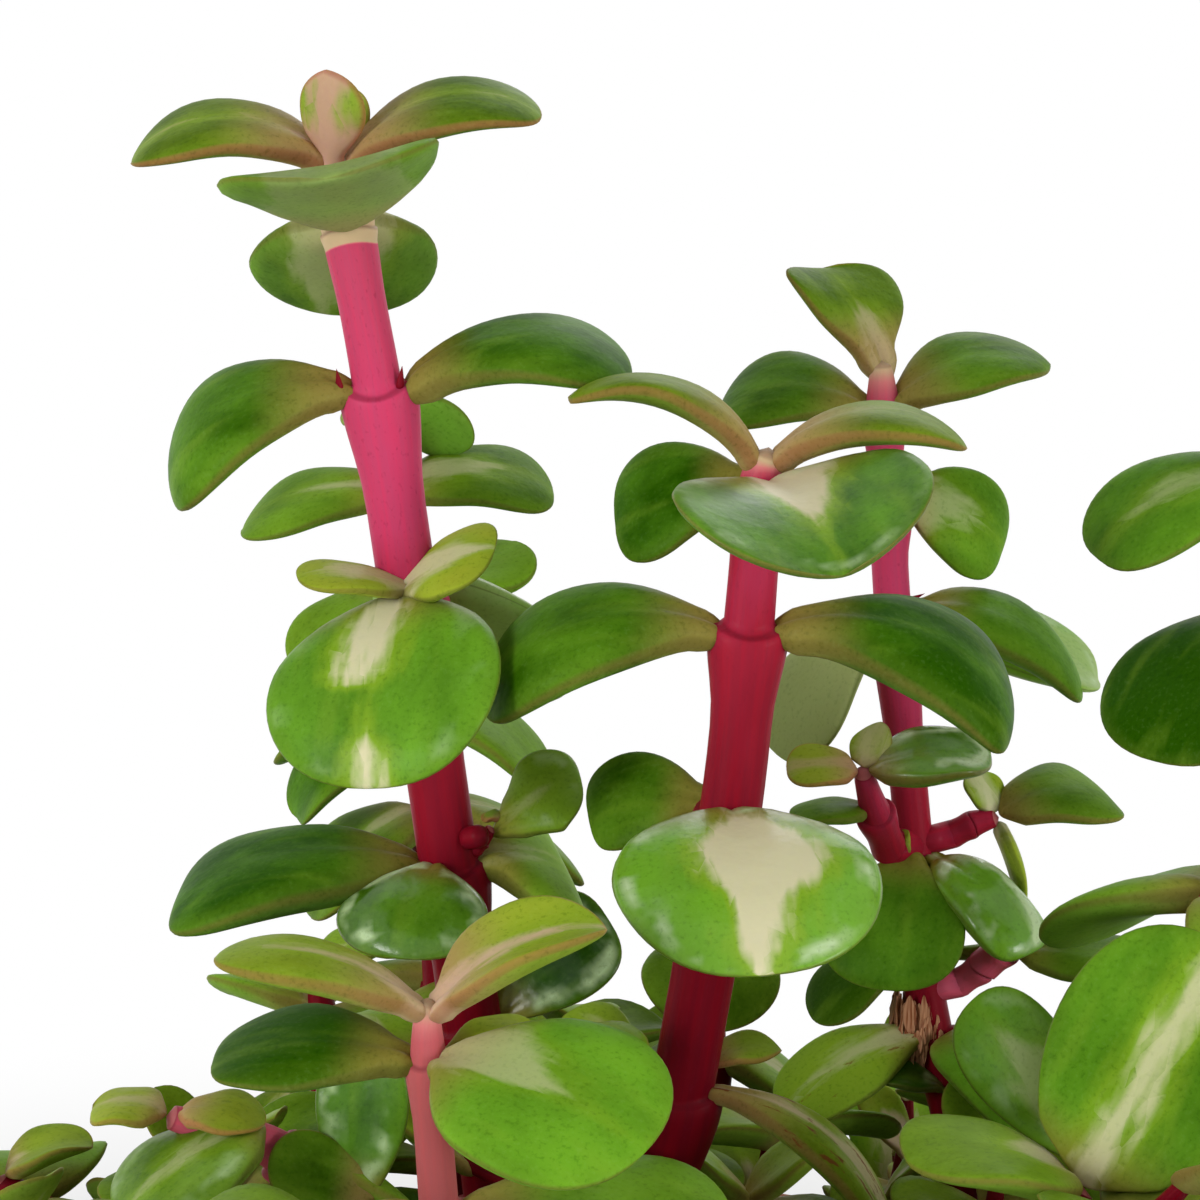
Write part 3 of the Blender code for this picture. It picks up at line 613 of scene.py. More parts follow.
def over_grid(*columns):
    """Three values for each grid point, where one that is the same all along or all round is spread."""
    return np.stack(np.broadcast_arrays(*columns), axis=-1)


def grid_measure(*columns):
    """Three values for each grid point, and at the poles the mean of the first and last ring's."""
    grid = over_grid(*columns)
    return np.vstack([grid[0].mean(axis=0), grid.reshape(-1, 3), grid[-1].mean(axis=0)])


rng = np.random.default_rng(SEED)
trial = leaf_tube(free_leaves["tall_leaf_5_front"], Looks(), rng, 1.2)
print("one leaf has", len(trial.points), "points")

# %% [markdown]
# ## The surface of a stem
#
# The stem is soft and smooth, and swells into a shoulder under each joint, more on the two sides that
# carry the leaves. The next internode then rises from inside that shoulder, so a joint looks like a
# bamboo cane's. A tube curve with a varying radius could make this, but it can't be wider one way than
# the other. A formula in the share of the internode and the angle round the stem can.

# %% Work out a stem as a closed tube
JOINT_FLARE, JOINT_WAIST, JOINT_NOTCH = 1.22, 0.94, 0.34
FLARE_EVEN, FLARE_TO_LEAVES = 0.45, 0.85
STEM_TAPER, YOUNG_TAPER, TIP_SLIMMING = 0.18, 0.24, 0.6
YOUNG_JOINTS = 2
UNROUND, BURIED = 0.014, 9.0
NOTCH_LEVEL, FUNNEL_OVER = 0.6, 0.25
STEM_AROUND = 28
INTERNODE_ROWS = np.array([0.0, 0.03, 0.07, 0.14, 0.26, 0.40, 0.54, 0.66, 0.76, 0.84, 0.862, 0.878, 0.90,
                           0.94, 0.965, 0.982, 0.994])


def along_joints(joints, position):
    """Catmull-Rom curve: the cubic that passes through the joints, at fractional joint numbers."""
    joints = np.asarray(joints, float)
    last = len(joints) - 1
    i = np.clip(np.floor(position).astype(int), 0, last - 1)
    t = (position - i)[:, None]
    p0, p1, p2, p3 = (joints[np.clip(i + k, 0, last)] for k in (-1, 0, 1, 2))
    return 0.5 * (
        2.0 * p1 + (p2 - p0) * t + (2.0 * p0 - 5.0 * p1 + 4.0 * p2 - p3) * t**2
        + (3.0 * p1 - p0 - 3.0 * p2 + p3) * t**3)


def stem_samples(shoot):
    """Points every few millimetres along a stem."""
    count = len(shoot.joints)
    return along_joints(shoot.joints, np.linspace(0.0, count - 1.0, 12 * count))


def girth(shoot, position):
    """The stem's radius before the shoulders: a slow taper, then slim young growth on top."""
    last_old = max(1, len(shoot.joints) - 1 - YOUNG_JOINTS)
    tapered = shoot.foot * (1.0 - STEM_TAPER * position / last_old)
    young = shoot.tip * (1.0 + YOUNG_TAPER * (len(shoot.joints) - 1 - position) / YOUNG_JOINTS)
    return np.where(position > last_old, young, tapered)


def pair_angles(shoot, leaves):
    """The direction of each joint's pair of leaves, from doubled angles. Bare joints turn a quarter."""
    found = {}
    for joint in range(len(shoot.joints)):
        heads = [midrib_at(leaf.midrib, 0.3)[0] - leaf.midrib[-1] for leaf in leaves if leaf.joint == joint]
        if heads:
            doubled = sum(np.exp(2j * math.atan2(h[1], h[0])) for h in heads)
            found[joint] = 0.5 * float(np.angle(doubled))
    known = sorted(found) or [0]
    found.setdefault(known[0], 0.0)
    angles = []
    for joint in range(len(shoot.joints)):
        nearest = min(known, key=lambda k: abs(k - joint))
        angles.append(found.get(joint, found[nearest] + 0.5 * math.pi * abs(joint - nearest)))
    return angles


def stem_tube(shoot, angles, planted, pale_from, rng, pale_over=0.02, funnel=0.0):
    """Route point plus radius times the direction round it. The radius is the girth, times a waist
    low in the internode, times a shoulder near its top that is stronger towards the leaf pair. Near a
    joint each ring rises towards the two leaves and dips between them, by JOINT_NOTCH."""
    last = len(shoot.joints) - 1
    angle = math.tau * np.arange(STEM_AROUND) / STEM_AROUND
    position = np.concatenate([k + INTERNODE_ROWS for k in range(last)] + [[last]])
    whole = np.minimum(np.floor(position).astype(int), last - 1)
    share = position - whole
    toward = np.array(angles)[np.minimum(whole + 1, last)]
    towards_leaves = np.cos(angle[None] - toward[:, None]) ** 2
    towards_lower = np.cos(angle[None] - np.array(angles)[whole][:, None]) ** 2
    notch_above = (towards_leaves - NOTCH_LEVEL) * ease(share, 0.5, 0.94)[:, None]
    notch_below = (towards_lower - NOTCH_LEVEL) * (1.0 - ease(share, 0.06, 0.5))[:, None]
    notch_above *= np.where(whole + 1 < last, 1.0, 0.0)[:, None]
    notch_below *= np.where(whole > 0, 1.0, 0.0)[:, None]
    notch = JOINT_NOTCH * girth(shoot, position)[:, None] * (notch_above + notch_below)
    base = girth(shoot, np.asarray(position - 0.02, float))
    waist = 1.0 + (JOINT_WAIST - 1.0) * (1.0 - ease(share, 0.3, 0.9))
    rise = ease(share, 0.45, 0.95) * (1.0 - 0.50 * ease(share, 0.955, 1.0))
    flare = np.where(whole + 1 < last, JOINT_FLARE - 1.0, 0.0)
    swell = (flare * rise)[:, None] * (FLARE_EVEN + FLARE_TO_LEAVES * towards_leaves)
    radius = base[:, None] * (waist[:, None] + swell)
    slim = np.where(whole + 1 == last, 1.0 - (1.0 - TIP_SLIMMING) * share, 1.0)
    radius *= (slim * (1.0 + funnel * ease(position, pale_from, pale_from + FUNNEL_OVER)))[:, None]
    radius *= 1.0 + UNROUND * np.cos(3.0 * angle[None] + position[:, None] * 2.1 + rng.uniform(0.0, 6.0))
    centre = along_joints(shoot.joints, position)
    if planted or shoot.parent:
        first = np.array(shoot.joints[0], float)
        foot = np.array([first - (0.0, 0.0, BURIED), first - (0.0, 0.0, 0.5 * BURIED)])
        if shoot.parent:
            axis = stem_samples(SHOOTS[shoot.parent])
            root = axis[np.linalg.norm(axis - first, axis=1).argmin()]
            foot = np.array([root, root + (first - root) * 0.5])
        centre = np.vstack([foot, centre])
        radius = np.vstack([radius[:1], radius[:1], radius])
        notch = np.vstack([notch[:1], notch[:1], notch])
        position = np.concatenate([[-0.2, -0.1], position])
    ahead = unit(np.gradient(centre, axis=0))
    right = unit(np.cross((0.0, 1.0, 0.0), ahead))
    away = np.cross(ahead, right)
    ring = np.cos(angle)[None, :, None] * right[:, None] + np.sin(angle)[None, :, None] * away[:, None]
    grid = centre[:, None] + radius[..., None] * ring + notch[..., None] * ahead[:, None]
    walked = np.concatenate([[0.0], np.cumsum(np.linalg.norm(np.diff(centre, axis=0), axis=1))])
    joint_at = np.interp(np.arange(last + 1), position, walked)
    offset = np.abs(walked[:, None] - joint_at[None, 1:]).min(axis=1)
    foot_pole = centre[0] - ahead[0] * 0.3 * radius[0].mean()
    tip_pole = centre[-1] + ahead[-1] * 0.5 * radius[-1].mean()
    points = np.vstack([[foot_pole], grid.reshape(-1, 3), [tip_pole]])
    seed = rng.uniform(0.0, NOISE_SPREAD)
    # Raising the height by fresh pinks a young shoot and paints light onto a shoot that stands in shadow.
    colour_height = grid[..., 2] + shoot.fresh
    pale = np.maximum(ease(position, pale_from - pale_over, pale_from + pale_over), shoot.dusty)
    measures = {
        "bark": grid_measure(
            shoot.foot * np.cos(angle), walked[:, None], seed + shoot.foot * np.sin(angle)),
        "growth": grid_measure(offset[:, None], colour_height, pale[:, None]),
    }
    return Tube(points, len(centre), STEM_AROUND, measures)


def leaves_of(name):
    """The free leaves of one shoot."""
    return [leaf for leaf in free_leaves.values() if leaf.shoot == name]


tall_angles = pair_angles(SHOOTS["tall"], leaves_of("tall"))
print("leaf pairs of the tall shoot point to", [round(math.degrees(a)) for a in tall_angles], "degrees")

# %% [markdown]
# ## The skin of the leaves
#
# The leaf is a water store under a thin waxy skin, so it is smooth and softly glossy, and a little
# light passes through it. The green lies in streaky sectors beside a cream heart that the green cells
# left out. Young leaves are yellower, with a red line along the margin and a pink base. The pattern
# could be painted as a picture, but then each leaf would need its own. Noise that is read in the leaf's
# own millimetres, along and across, gives each leaf its own ragged edge between cream and green.

# %% The leaf skin material
PLANT_LIGHT_REACH = 0.9 * MM


def new_material(name):
    """A node material, its Principled shader, and the function that adds a node to its tree."""
    material = bpy.data.materials.new(name)
    material.use_nodes = True
    tree = material.node_tree
    return material, tree.nodes["Principled BSDF"], partial(add_node, tree)


def measure(add, name):
    """One of the piece's own measures, read back as three numbers."""
    return add("SeparateXYZ", add("Attribute", attribute_name=name).outputs["Vector"]).outputs


def succulent_leaf_skin():
    """Living leaf: waxy cuticle over juicy green tissue, index of refraction near water's."""
    material, shader, add = new_material("succulent_leaf_skin")
    blade = add("Attribute", attribute_name="blade").outputs["Vector"]
    edge, cream, face = measure(add, "form")
    youth, blush, shade = measure(add, "habit")
    fade, marks, gloss = measure(add, "care")
    tinge, highlight_rim, _ = measure(add, "foot")

    # Sectors of colour: about 4 mm long and 1 mm wide, with stepped sides, as cells divide lengthwise.
    streak_at = add("VectorMath", blade, (0.24, 0.85, 0.85), operation="MULTIPLY")
    streak = add("TexNoise", Vector=streak_at, Scale=1, Detail=2, Roughness=0.5)
    cell_at = add("VectorMath", blade, (0.45, 1.15, 1.15), operation="MULTIPLY")
    cell = add("TexVoronoi", Vector=cell_at, Scale=1)
    cell_value = add("SeparateColor", cell.outputs["Color"])
    ragged = add("Math", streak, 2.8, -1.4, operation="MULTIPLY_ADD")
    stepped = add("Math", cell_value, 0.5, -0.25, operation="MULTIPLY_ADD")
    uneven = add("Math", ragged, stepped, operation="ADD")
    depth = add("Math", cream, uneven, operation="ADD")
    heart = add("MapRange", depth, -0.7, 0.8, 0, 1, **SMOOTH)
    halo = add("MapRange", depth, -2.4, 0.1, 0, 0.9, **SMOOTH)

    # Greens: slow changes a few millimetres across, darker in shaded leaves.
    slow_at = add("VectorMath", blade, (0.16, 0.24, 0.24), operation="MULTIPLY")
    slow = add("TexNoise", Vector=slow_at, Scale=1, Detail=4, Roughness=0.55)
    darker = add("Math", slow, shade, operation="ADD")
    depth_of_green = add("MapRange", darker, 0.24, 0.98, 0, 1)
    green = add("Mix", depth_of_green, linear("#75af28"), linear("#2a5600"), **COLOURS)
    young_green = add("Mix", depth_of_green, linear("#a8b534"), linear("#5b7300"), **COLOURS)
    aged = add("Mix", youth, green, young_green, **COLOURS)
    halo_share = add("Math", halo, fade, operation="MULTIPLY")
    sector_at = add("VectorMath", blade, (0.1, 0.42, 0.42), operation="MULTIPLY")
    sector = add("TexNoise", Vector=sector_at, Scale=1.3, Detail=2)
    sectors = add("MapRange", sector, 0.5, 0.74, 0, 0.24, **SMOOTH)
    sectored = add("Mix", sectors, aged, linear("#86aa30"), **COLOURS)
    lit = add("Mix", halo_share, sectored, linear("#93b52a"), **COLOURS)

    # Towards the base the tissue is paler. Towards the thin margin the green is paler too, partly its own
    # paler tissue and partly painted light that shines through the thin edge.
    margin_pale_and_lit = add("MapRange", edge, 0.1, 1.5, 0.16, 0, **SMOOTH)
    margin_paled_and_lit = add("Mix", margin_pale_and_lit, lit, linear("#7d9a2e"), **COLOURS)
    at_base = add("Math", tinge, 0.82, operation="MULTIPLY")
    base_colour = add("Mix", blush, linear("#85802e"), linear("#cb9672"), **COLOURS)
    based = add("Mix", at_base, margin_paled_and_lit, base_colour, **COLOURS)
    heart_share = add("Math", heart, fade, operation="MULTIPLY")
    heart_colour = add("Mix", blush, linear("#e4e1b8"), linear("#dda696"), **COLOURS)
    hearted = add("Mix", heart_share, based, heart_colour, **COLOURS)

    # The underside is greyer: air lies behind its skin.
    under = add("MapRange", face, 0.15, -0.35, 0, 0.14, **SMOOTH)
    greyed = add("Mix", under, hearted, linear("#7f9a62"), **COLOURS)

    # A fine line along the margin, redder and wider on young leaves.
    line_width = add("Math", blush, 0.2, 0.12, operation="MULTIPLY_ADD")
    line = add("MapRange", edge, 0, line_width, 0.62, 0, **SMOOTH)
    line_colour = add("Mix", blush, linear("#5d6b28"), linear("#b0604c"), **COLOURS)
    lined = add("Mix", line, greyed, line_colour, **COLOURS)

    # Painted highlight: pale clouds along the fleshy rim stand for the softboxes' gleam, on the leaves that
    # are given gloss.
    highlight_cloud_at = add("VectorMath", blade, (0.34, 0.34, 0.34), operation="MULTIPLY")
    cloud = add("TexNoise", Vector=highlight_cloud_at, Scale=1, Detail=2)
    highlight_clouds = add("MapRange", cloud, 0.46, 0.64, 0, 1.8, **SMOOTH)
    highlight_on_rim = add("Math", highlight_clouds, highlight_rim, operation="MULTIPLY")
    highlight_share = add("Math", highlight_on_rim, gloss, operation="MULTIPLY")
    rim_highlighted = add("Mix", highlight_share, lined, linear("#c3dba6"), **COLOURS)

    # Pores show as specks a quarter of a millimetre across.
    speck_at = add("VectorMath", blade, (3.2, 3.2, 3.2), operation="MULTIPLY")
    speck = add("TexNoise", Vector=speck_at, Scale=1, Detail=2, Roughness=0.6)
    speck_dark = add("MapRange", speck, 0.54, 0.74, 0, 0.32)
    green_share = add("Math", 1, heart_share, operation="SUBTRACT")
    speck_green = add("Math", speck_dark, green_share, operation="MULTIPLY")
    speck_light = add("MapRange", speck, 0.44, 0.28, 0, 0.08)
    specked = add("Mix", speck_green, rim_highlighted, linear("#5f8f3c"), blend_type="MULTIPLY", **COLOURS)
    grained = add("Mix", speck_light, specked, linear("#7f9a5e"), blend_type="SCREEN", **COLOURS)

    # Corky brown scars, only on the few leaves that carry marks.
    scar = add("TexNoise", Vector=streak_at, Scale=1.7, Detail=4, Roughness=0.65)
    scar_depth = add("Math", scar, marks, operation="MULTIPLY")
    scarred = add("MapRange", scar_depth, 0.54, 0.62, 0, 0.9, **SMOOTH)
    colour = add("Mix", scarred, grained, linear("#7d4322"), **COLOURS)

    # A bloom of fine wax dulls most leaves. Where it has been rubbed off the skin shines.
    bloom = add("MapRange", face, -0.3, 0.3, 0.5, 0.38)
    rough = add("Math", gloss, -0.16, bloom, operation="MULTIPLY_ADD")
    shine = add("Math", gloss, 0.5, 0.03, operation="MULTIPLY_ADD")

    # Relief: grain a third of a millimetre across, and soft dents of two millimetres.
    place = add("TexCoord").outputs["Object"]
    grain = add("TexNoise", Vector=place, Scale=1 / (0.34 * MM), Detail=2)
    dents = add("TexNoise", Vector=place, Scale=1 / (2.2 * MM), Detail=2)
    coarse = add("Bump", Strength=1, Distance=0.1 * MM, Height=dents)
    fine = add("Bump", Strength=1, Distance=0.012 * MM, Height=grain, Normal=coarse)
    fill(shader, Base_Color=colour, Roughness=rough, Specular_IOR_Level=shine, Normal=fine, IOR=1.40,
         Subsurface_Weight=0.22, Subsurface_Radius=(0.7, 1, 0.25), Subsurface_Scale=PLANT_LIGHT_REACH)
    return material


leaf_skin = succulent_leaf_skin()
print("leaf skin uses", len(leaf_skin.node_tree.nodes), "nodes")

# %% [markdown]
# ## The skin of the stems
#
# Young stems of this plant are as smooth and juicy as the leaves, and coloured by a red pigment. It is
# bright pink-crimson in strong light at the top, deepens to wine red lower down, and turns to brown bark
# by the soil. So the colour follows the height, and the darker red low down is partly painted shade.
# Fine streaks run lengthwise, and each joint is marked by a thin dark line where the leaves' bases meet.

# %% The stem skin material
# Reds by height from the soil up; the deep reds low down are partly painted shade.
STEM_REDS = ((0.0, "#55321f"), (0.10, "#661f1c"), (0.26, "#6c0a1a"), (0.48, "#740a1c"),
             (0.64, "#a02238"), (0.78, "#ce446e"), (1.0, "#c54c6a"))


def young_stem_skin():
    """Living stem: smooth red skin with a soft gloss, over tissue that lets a little light through."""
    material, shader, add = new_material("young_stem_skin")
    bark = add("Attribute", attribute_name="bark").outputs["Vector"]
    offset, height, pale = measure(add, "growth")

    # Streaks half a millimetre wide run up the stem, and patches of five millimetres change its red.
    streak_at = add("VectorMath", bark, (1.9, 0.1, 1.9), operation="MULTIPLY")
    streak = add("TexNoise", Vector=streak_at, Scale=1, Detail=3, Roughness=0.55)
    slow_at = add("VectorMath", bark, (0.2, 0.1, 0.2), operation="MULTIPLY")
    slow = add("TexNoise", Vector=slow_at, Scale=1, Detail=2)
    wobble = add("Math", slow, 16, -8, operation="MULTIPLY_ADD")
    level = add("Math", height, wobble, operation="ADD")
    ramp = add("ValToRGB", add("MapRange", level, 80, 180, 0, 1))
    while len(ramp.color_ramp.elements) < len(STEM_REDS):
        ramp.color_ramp.elements.new(0.5)
    for element, (position, colour) in zip(ramp.color_ramp.elements, STEM_REDS):
        element.position = position
        element.color = linear(colour)
    lines = add("MapRange", streak, 0.38, 0.68, 0, 0.48)
    streaked = add("Mix", lines, ramp, linear("#f0a0b0"), blend_type="SOFT_LIGHT", **COLOURS)

    # Darker dots of cork, then the pallor of the shoot's tip: first pink and at full strength cream.
    dot_at = add("VectorMath", bark, (1.8, 1.3, 1.8), operation="MULTIPLY")
    dot = add("TexNoise", Vector=dot_at, Scale=1.6, Detail=2)
    dots = add("MapRange", dot, 0.6, 0.76, 0, 0.26)
    dotted = add("Mix", dots, streaked, linear("#7d1830"), **COLOURS)
    pinker = add("MapRange", pale, 0, 0.5, 0, 0.8)
    pinked = add("Mix", pinker, dotted, linear("#df8a86"), **COLOURS)
    creamer = add("MapRange", pale, 0.5, 1, 0, 0.9)
    paled = add("Mix", creamer, pinked, linear("#cfbb90"), **COLOURS)
    near_joint = add("MapRange", offset, 0.03, 0.26, 0.38, 0, **SMOOTH)
    colour = add("Mix", near_joint, paled, linear("#641420"), **COLOURS)

    # Low down the skin turns to rough ribbed bark.
    rough = add("MapRange", height, 82, 112, 0.75, 0.4)
    barky = add("MapRange", height, 84, 108, 1, 0.1)
    relief = add("Math", streak, barky, operation="MULTIPLY")
    ribs = add("Bump", Strength=1, Distance=0.35 * MM, Height=relief)
    grain = add("Bump", Strength=1, Distance=0.02 * MM, Height=dot, Normal=ribs)
    fill(shader, Base_Color=colour, Roughness=rough, Specular_IOR_Level=0.08, Normal=grain, IOR=1.40,
         Subsurface_Weight=0.18, Subsurface_Radius=(1, 0.35, 0.35), Subsurface_Scale=PLANT_LIGHT_REACH)
    return material


stem_skin = young_stem_skin()
print("stem skin uses", len(stem_skin.node_tree.nodes), "nodes")

# %% [markdown]
# ## How each leaf looks
#
# Most leaves take their looks from chance: their size says how old they are, and a random draw gives
# some a cream heart. The leaves that catch the eye are set one by one instead. Their cream patch is a
# short list of how far it reaches to either side of the midrib, in millimetres, at shares of the length.
# A reach below nought keeps the patch away. A leaf of a joined shoot is named by its shoot, its joint and
# its place in the order in which they were read.

# %% Choose the looks of the leaves
FULL_GROWN = 14.0
HEART_SHARE, HEART_WIDTH, HEART_REACH, HEART_TILT = 0.42, (0.2, 2.2), (0.35, 0.95), 0.6


def chance_looks(leaf, rng):
    """Youth falls with length. Some leaves get a tapering cream patch of random width and reach."""
    length = leaf_length(leaf.midrib)
    youth = float(np.clip(1.25 - length / FULL_GROWN, 0.0, 1.0)) * rng.uniform(0.5, 1.15)
    cream = ()
    if rng.uniform() < HEART_SHARE:
        wide, reach = rng.uniform(*HEART_WIDTH), rng.uniform(*HEART_REACH)
        tilt = rng.uniform(-HEART_TILT, HEART_TILT)
        cream = ((0, wide, wide), (reach * 0.6, wide + tilt, wide - tilt), (reach, -0.8, -0.8), (1, -3, -3))
    return Looks(cream, fade=rng.uniform(0.35, 0.95), youth=min(youth, 1.0), blush=0.15 + 0.4 * youth,
                 shade=rng.uniform(-0.3, 0.35), cup=rng.uniform(-0.05, 0.15), thick=rng.uniform(0.9, 1.25),
                 roundness=OVAL + 0.2 * youth)


